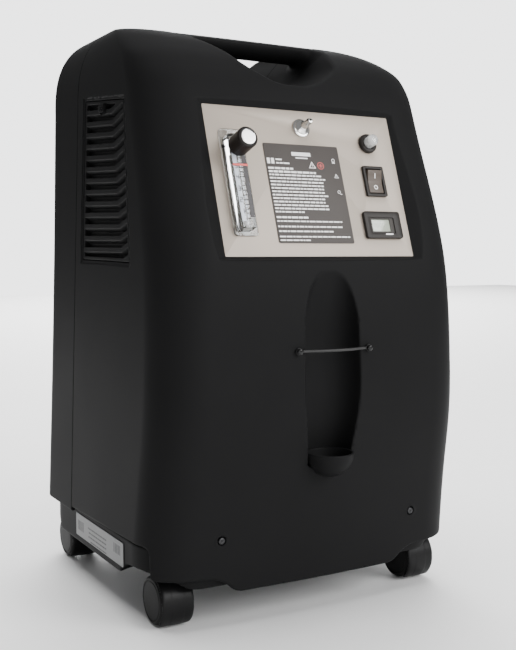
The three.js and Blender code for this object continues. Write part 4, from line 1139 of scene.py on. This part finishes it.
def build_outlet():
    place = Matrix.Translation((OUTLET["x"], 0, OUTLET["z"])) @ Y_OUT
    profile = [(1.3, -12), (4.6, -12), (4.6, 0.3), (9.7, 0.3), (9.7, 1.5), (8.7, 2.1), (7.6, 2.2), (7.3, 3.2),
               (4.4, 4.8), (3.0, 6.2), (2.8, 12), (3.3, 13), (2.55, 15.4), (3.3, 16), (2.3, 19.4),
               (1.3, 19.4)]
    bm = bmesh.new()
    path = rounded_path(profile, 0.35, 3, closed=False)
    lathe_into(bm, path + [path[0]], place, 56)
    panel_piece("oxygen_outlet_barb", bm, "chassis", "chrome", chrome, "oxygen_outlet")


def build_breaker():
    place = Matrix.Translation((BREAKER["x"], 0, BREAKER["z"])) @ Y_OUT
    hole = BREAKER["boot_r"] + 0.4
    bm = bmesh.new()
    ring_r = BREAKER["ring_r"]
    ring = [(hole, -9), (hole, 4.4), (7.6, 4.5), (9.4, 4.2), (ring_r, 3.2), (ring_r, 0.3), (7.2, 0.3),
            (7.2, -15.9), (0, -15.9), (0, -9)]
    turned_into(bm, ring + [ring[0]], place, 56)
    panel_piece("breaker_bezel_nut", bm, "chassis", "grey_plastic", bezel_black, "breaker_bezel")
    boot = bmesh.new()
    r = BREAKER["boot_r"]
    profile = [(0, -4.9), (r - 0.4, -4.9), (r, -4.4), (r, 4.6)]
    for k in range(4):
        at = 5.2 + 1.5 * k
        profile += [(r, at), (r - 0.35, at + 0.35), (r - 0.35, at + 0.8), (r, at + 1.15)]
    profile += [(r, 11.6), (r - 0.5, 13.4), (r - 2.0, 14.6), (r - 4, 14.95), (0, 15)]
    turned_into(boot, profile, place, 56, 0.3)
    panel_piece("breaker_button_boot", boot, "button", "white_plastic", boot_clear, "breaker_button")
    core = bmesh.new()
    turned_into(core, [(0, -4), (4.2, -4), (4.2, 9.5), (0, 9.9)], place, 40, 0.5)
    panel_piece("breaker_button_core", core, "button", "white_plastic", button_white)


def build_switch():
    x, z = SWITCH["x"], SWITCH["z"]
    hole = box_round(SWITCH, SWITCH["hole_x"], SWITCH["hole_z"], 0.8, 3)
    bm = bmesh.new()
    outline = box_round(SWITCH, SWITCH["half_x"], SWITCH["half_z"], 1.8)
    holed_slab_into(bm, outline, [hole], -3, PLATE_FRONT, 0.6)
    house = bmesh.new()
    slab_into(house, box_round(SWITCH, 10.9, 14, 1), 9, 22, 0.4)
    holed_slab_into(house, box_round(SWITCH, 10.9, 14, 1, 3), [hole], -0.4, 9.2, 0)
    panel_piece("switch_bezel_frame", bm, "chassis", "gloss_black", bezel_black, "switch_bezel")
    panel_piece("switch_housing", house, "chassis", "gloss_black", rubber)
    tilt = Matrix.Translation((x, 1.5, z)) @ Matrix.Rotation(math.radians(SWITCH["tilt"]), 4, "X")
    line = [(-5.5, -12.1), (-4.4, -6), (-3.6, 0), (-4.4, 6), (-5.5, 12.1), (2.4, 12.1), (4.9, 0),
            (2.4, -12.1)]
    rocker = bmesh.new()
    slab_into(rocker, rounded_path(line, 0.9, 4), -8.8, 8.8, 0.55, "yz", 3)
    rocker.transform(tilt)
    panel_piece("switch_rocker_paddle", rocker, "rocker", "rocker_brown", rocker_brown, "switch_rocker")
    signs = bmesh.new()
    bar, hoop = bmesh.new(), bmesh.new()
    slab_into(bar, box_outline(-0.45, 0.45, -2.6, 2.6), -0.2, 0.5, 0)
    hoop_into(hoop, 0, 0, 2.4, 0.9, -0.2, 0.5)
    for part, side in ((bar, 1), (hoop, -1)):
        facet = Matrix.Translation((0, -4.5, side * 6.0)) @ Matrix.Rotation(math.radians(side * 9.6), 4, "X")
        part.transform(facet)
        part.transform(tilt)
        mesh = bpy.data.meshes.new("sign")
        part.to_mesh(mesh)
        part.free()
        signs.from_mesh(mesh)
        bpy.data.meshes.remove(mesh)
    panel_piece("switch_rocker_signs", signs, "rocker", "white_plastic", print_white)


def build_meter():
    x, z = METER["x"], METER["z"]
    window = box_outline(x - 13.6, x + 8.4, z - 6.9, z + 5.7, 0.6, 3)
    step = box_outline(x - 15.6, x + 13.4, z - 8.6, z + 7.4, 1.0, 3)
    bm = bmesh.new()
    outline = box_round(METER, METER["half_x"], METER["half_z"], 3.2)
    holed_slab_into(bm, outline, [step], -3.9, PLATE_FRONT, 0.9)
    panel_piece("hour_meter_frame", bm, "chassis", "gloss_black", bezel_black, "hour_meter_case")
    inner = bmesh.new()
    seat = box_outline(x - 15.7, x + 13.5, z - 8.7, z + 7.5, 1.0, 3)
    holed_slab_into(inner, seat, [window], -3.0, -0.5, 0.3)
    slab_into(inner, box_round(METER, 19, 11, 1), -0.6, 15, 0.4)
    panel_piece("hour_meter_inner_frame", inner, "chassis", "gloss_black", meter_frame)
    pane = bmesh.new()
    slab_into(pane, window, -2.4, -0.7, 0.15)
    panel_piece("hour_meter_display_pane", pane, "chassis", "lcd", display, "hour_meter_display")
    digits = bmesh.new()
    rects = []
    for k in range(4):
        w, at = 1.0, x - 10.4 + 3.6 * k
        rects += [(at - w, at - w + 0.22, z - 2.4, z + 1.6), (at + w, at + w + 0.22, z - 2.4, z + 1.6),
                  (at - w, at + w, z + 1.5, z + 1.72), (at - w, at + w, z - 2.5, z - 2.28)]
    blocks_into(digits, rects, -2.44, -2.38)
    panel_piece("hour_meter_digits", digits, "chassis", "lcd", faint_digits)
    bar = bmesh.new()
    slab_into(bar, box_outline(x + 0.6, x + 9.8, z - 10.9, z - 9.5, 0.3), -4.0, -3.8, 0)
    panel_piece("hour_meter_bar", bar, "chassis", "white_plastic", print_white)


# ---------------------------------------------------------------- casters
CASTER = {"trail": 12, "r": 24, "half": 17, "web": 5.8, "bolt": 5}
HOOD_FROM, HOOD_TO = math.radians(78), math.radians(232)  # the hood's ends about the axle
POST = {"r": 9, "low": 38, "high": 54, "bore_low": 44}


def caster_hood_field(F, x, y, z):
    """The fork and hood about the swivel axis: a rounded cover over both wheels, open at the front below."""
    trail, r, half, web = CASTER["trail"], CASTER["r"], CASTER["half"], CASTER["web"]
    dy, dz = y + trail, z - r
    reach = np.sqrt(dy * dy + dz * dz)
    outer = smax(reach - r - 3.1, np.abs(x) - half - 0.9, 5.0)
    first = dy * math.sin(HOOD_FROM) - dz * math.cos(HOOD_FROM)
    last = -(dy * math.sin(HOOD_TO) - dz * math.cos(HOOD_TO))
    gate = smax(first, last, 2.0)
    cover = smax(outer, gate, 1.2)
    cover = smax(cover, -(smax(reach - r - 1.0, np.abs(x) - half - 3, 1)), 0.6)
    plate = smax(smax(reach - r - 2.6, np.abs(x) - web, 0.8), smin(gate, reach - 9.5, 5), 1.0)
    hub = smax(reach - 8, np.abs(x) - web, 0.8)
    from_stem = np.sqrt(x * x + y * y)
    post = smax(from_stem - POST["r"], np.maximum(POST["low"] - z, z - POST["high"]), 1.0)
    body = smin(smin(cover, plate, 1.5), hub, 0.8)
    body = smin(body, post, 4.0)
    wheel_room = smax(reach - r - 0.9, web - np.abs(x), 0.5)
    body = smax(body, -wheel_room, 0.5)
    body = smax(body, -np.maximum(reach - 3.3, np.abs(x) - 30), 0.3)
    return smax(body, -np.maximum(from_stem - CASTER["bolt"] - 0.3, POST["bore_low"] - z), 0.3)


def wheel_profile():
    """One wheel from its inner face to its outer: a rounded rim, a fine groove and a flat face."""
    r, web, half = CASTER["r"], CASTER["web"], CASTER["half"]
    return [(0, web + 0.6), (r - 3, web + 0.6), (r - 0.6, web + 1.4), (r, web + 3.2), (r, half - 4.2),
            (r - 0.7, half - 1.8), (r - 2.6, half - 0.35), (r - 4.2, half - 0.1), (r - 4.7, half - 0.75),
            (r - 5.2, half - 0.75), (r - 5.7, half - 0.1), (8, half), (0, half)]


def build_casters():
    grid = 1.3
    xs, ys, zs = spaced(-19, 19, grid), spaced(-41, 17, grid), spaced(-2, 56, grid)
    points, quads, normals = surface_net(caster_hood_field, xs, ys, zs)
    pin = [(0, 44.4), (5, 44.4), (5, 54.4), (8, 54.6), (8, 57.2), (5, 57.4), (5, 75), (4, 76), (0, 76)]
    for side, across in ((-1, "left"), (1, "right")):
        for y, along in ((CASTER_FRONT_Y, "front"), (CASTER_REAR_Y, "rear")):
            corner = f"{along}_{across}"
            at = [side * CASTER_X, y, 0]
            hood = make_object(f"caster_hood_{corner}_cover", row_points(points + at), quads, normals)
            settle_piece(hood, f"swivel_{corner}", "casing_dark", caster_plastic, f"caster_hood_{corner}")
            stem = bmesh.new()
            turned_into(stem, pin, segments=36, radius=0.5)
            stem = from_bmesh(f"caster_stem_{corner}_pin", stem, casing_matrix(*at))
            settle_piece(stem, "chassis", "steel", steel, f"caster_stem_{corner}")
            axle_at = (at[0], y - CASTER["trail"], CASTER["r"])
            wheels = bmesh.new()
            for end in (-1, 1):
                turn = Matrix.Rotation(end * math.pi / 2, 4, "Y")
                turned_into(wheels, wheel_profile(), turn, 72, 0.7, 4)
            lathe_into(wheels, [(0, -7), (2.9, -7), (2.9, 7), (0, 7)], X_OUT, 24)
            pair = from_bmesh(f"caster_wheels_{corner}_pair", wheels, casing_matrix(*axle_at))
            settle_piece(pair, f"wheels_{corner}", "tyre", tread, f"caster_wheels_{corner}")


# ---------------------------------------------------------------- rear and inside
def build_inlet():
    low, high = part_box("power_inlet")
    x, z = (low.x + high.x) / 2 / MM, (low.z + high.z) / 2 / MM
    back = high.y / MM
    centre = {"x": x, "z": z}
    bm = bmesh.new()
    hole = rounded_path([(x - 12.5, z - 8.5), (x + 12.5, z - 8.5), (x + 12.5, z + 5), (x + 8.5, z + 8.5),
                         (x - 8.5, z + 8.5), (x - 12.5, z + 5)], 1.5, 4)
    walls = box_round(centre, 23, 13.5, 2)
    holed_slab_into(bm, box_round(centre, 29, 17, 4), [hole], back - 2.7, back, 0.6)
    holed_slab_into(bm, walls, [hole], back - 21, back - 2.8, 0)
    slab_into(bm, walls, back - 27, back - 21.1, 0.4)
    inlet = from_bmesh("power_inlet_socket", bm, ROW_MM)
    settle_piece(inlet, "chassis", "gloss_black", gloss_black, "power_inlet")
    pins = bmesh.new()
    for dx, dz in ((-7, -3), (0, 3), (7, -3)):
        slab_into(pins, box_round({"x": x + dx, "z": z + dz}, 1.1, 2.3, 0.4), back - 22, back - 5, 0.4)
    settle_piece(from_bmesh("power_inlet_pins", pins, ROW_MM), "chassis", "steel", chrome)
    profile = [(0, -0.4), (1.4, -0.4), (1.9, 0.1), (2.2, -0.6), (2.2, -2), (0, -2)]
    for side, word in ((-1, "left"), (1, "right")):
        place = Matrix.Translation(((x + side * 25.6) * MM, back * MM, z * MM)) @ ROW_MM
        head = bmesh.new()
        turned_into(head, profile, Y_BACK, 24, 0.2, 2)
        settle_piece(from_bmesh(f"power_inlet_screw_{word}", head, place), "chassis", "steel", steel)


INNER = {"compressor_motor": cast_metal, "compressor_head_left": cast_metal,
         "compressor_head_right": cast_metal, "compressor_tray": zinc, "fan_shroud": casing_deep,
         "fan_rotor": casing_deep, "sieve_tank_left": zinc, "sieve_tank_right": zinc, "product_tank": zinc,
         "valve_manifold": cast_metal, "intake_filter": filter_white, "circuit_board": board_green,
         "inner_divider": zinc, "feed_tube": rubber, "product_tube": rubber}


def finish_inner_pieces():
    """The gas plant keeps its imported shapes; each gets the metal, plastic or rubber it is made of."""
    for name, material in INNER.items():
        piece = bpy.data.objects.get(name)
        if piece is None:
            raise RuntimeError("no packed piece " + name)
        for slot in piece.material_slots:
            slot.material = material


build_casing()
build_grip()
build_grille()
build_base()
build_rating_label()
build_cup()
build_strap()
build_pegs()
build_screws()
build_plate()
build_label()
build_flow_block()
build_flow_scale()
build_flow_fittings()
build_knob()
build_outlet()
build_breaker()
build_switch()
build_meter()
build_casters()
build_inlet()
finish_inner_pieces()


# ---------------------------------------------------------------- stage
FLOOR = {"size": 14, "z": -0.0002}  # a hair below the wheels
LOOK = {"x": 0.495, "y": 0.868}  # the way the camera looks, on the floor
BACKGROUND = {"From Min": 0.885, "From Max": 0.925, "To Min": 0.3, "To Max": 3.4}


def build_stage():
    """The floor, and a grey world that turns bright in one round patch behind the object."""
    bpy.ops.mesh.primitive_plane_add(size=FLOOR["size"], location=(0, 0, FLOOR["z"]))
    floor = bpy.context.object
    floor.name = "floor"
    floor.data.materials.append(floor_pale)
    world = bpy.data.worlds.new("studio")
    bpy.context.scene.world = world
    world.use_nodes = True
    tree = world.node_tree
    background = tree.nodes["Background"]
    background.inputs["Color"].default_value = (0.96, 0.965, 0.97, 1)
    where = node(tree, "ShaderNodeTexCoord")
    toward = node(tree, "ShaderNodeVectorMath", operation="DOT_PRODUCT")
    toward.inputs[1].default_value = (LOOK["x"], LOOK["y"], 0)
    swing = node(tree, "ShaderNodeMapRange", interpolation_type="SMOOTHSTEP")
    for name, value in BACKGROUND.items():
        swing.inputs[name].default_value = value
    tree.links.new(where.outputs["Generated"], toward.inputs[0])
    tree.links.new(toward.outputs["Value"], swing.inputs["Value"])
    tree.links.new(swing.outputs["Result"], background.inputs["Strength"])


MIDDLE = (0, 0, 0.32)
# name: place and target in metres, side in metres, watts, whether gloss reflects it
LIGHTS = {"key_front": ((1.15, -2.0, 1.35), MIDDLE, 1.3, 64, True),
          "fill_front": ((-0.1, -2.75, 0.7), MIDDLE, 1.4, 24, True),
          "top": ((0, 0.3, 2.6), MIDDLE, 2.4, 118, False),
          "backdrop": ((1.5, 3.4, 2.6), (1.5, 3.4, 0), 4, 330, False),
          "far_floor": ((3.4, 6.2, 2.8), (3.4, 6.2, 0), 5, 620, False)}


def turned_to(name, data, place, look):
    """An object that looks along the direction look from its place."""
    obj = bpy.data.objects.new(name, data)
    obj.location = place
    obj.rotation_mode = "QUATERNION"
    obj.rotation_quaternion = look.to_track_quat("-Z", "Y")
    bpy.context.scene.collection.objects.link(obj)
    return obj


def build_lights():
    for name, (place, target, side, watts, glossy) in LIGHTS.items():
        light = bpy.data.lights.new(name, "AREA")
        light.shape = "RECTANGLE"
        light.size, light.size_y = side, side
        light.energy = watts
        lamp = turned_to(name, light, place, Vector(target) - Vector(place))
        lamp.visible_glossy = glossy


CAMERA = {"place": (-0.5348, -0.9616, 0.3603), "azimuth": 29.69, "down": 4.27, "lens": 54.8}


def build_camera():
    """The photograph's view: from the front left, a little above the middle, looking slightly down."""
    camera = bpy.data.cameras.new("camera")
    camera.sensor_width = 36
    camera.lens = CAMERA["lens"]
    camera.clip_start, camera.clip_end = 0.05, 30
    azimuth, down = math.radians(CAMERA["azimuth"]), math.radians(CAMERA["down"])
    look = Vector((math.sin(azimuth) * math.cos(down), math.cos(azimuth) * math.cos(down), -math.sin(down)))
    bpy.context.scene.camera = turned_to("camera", camera, CAMERA["place"], look)


build_stage()
build_lights()
build_camera()
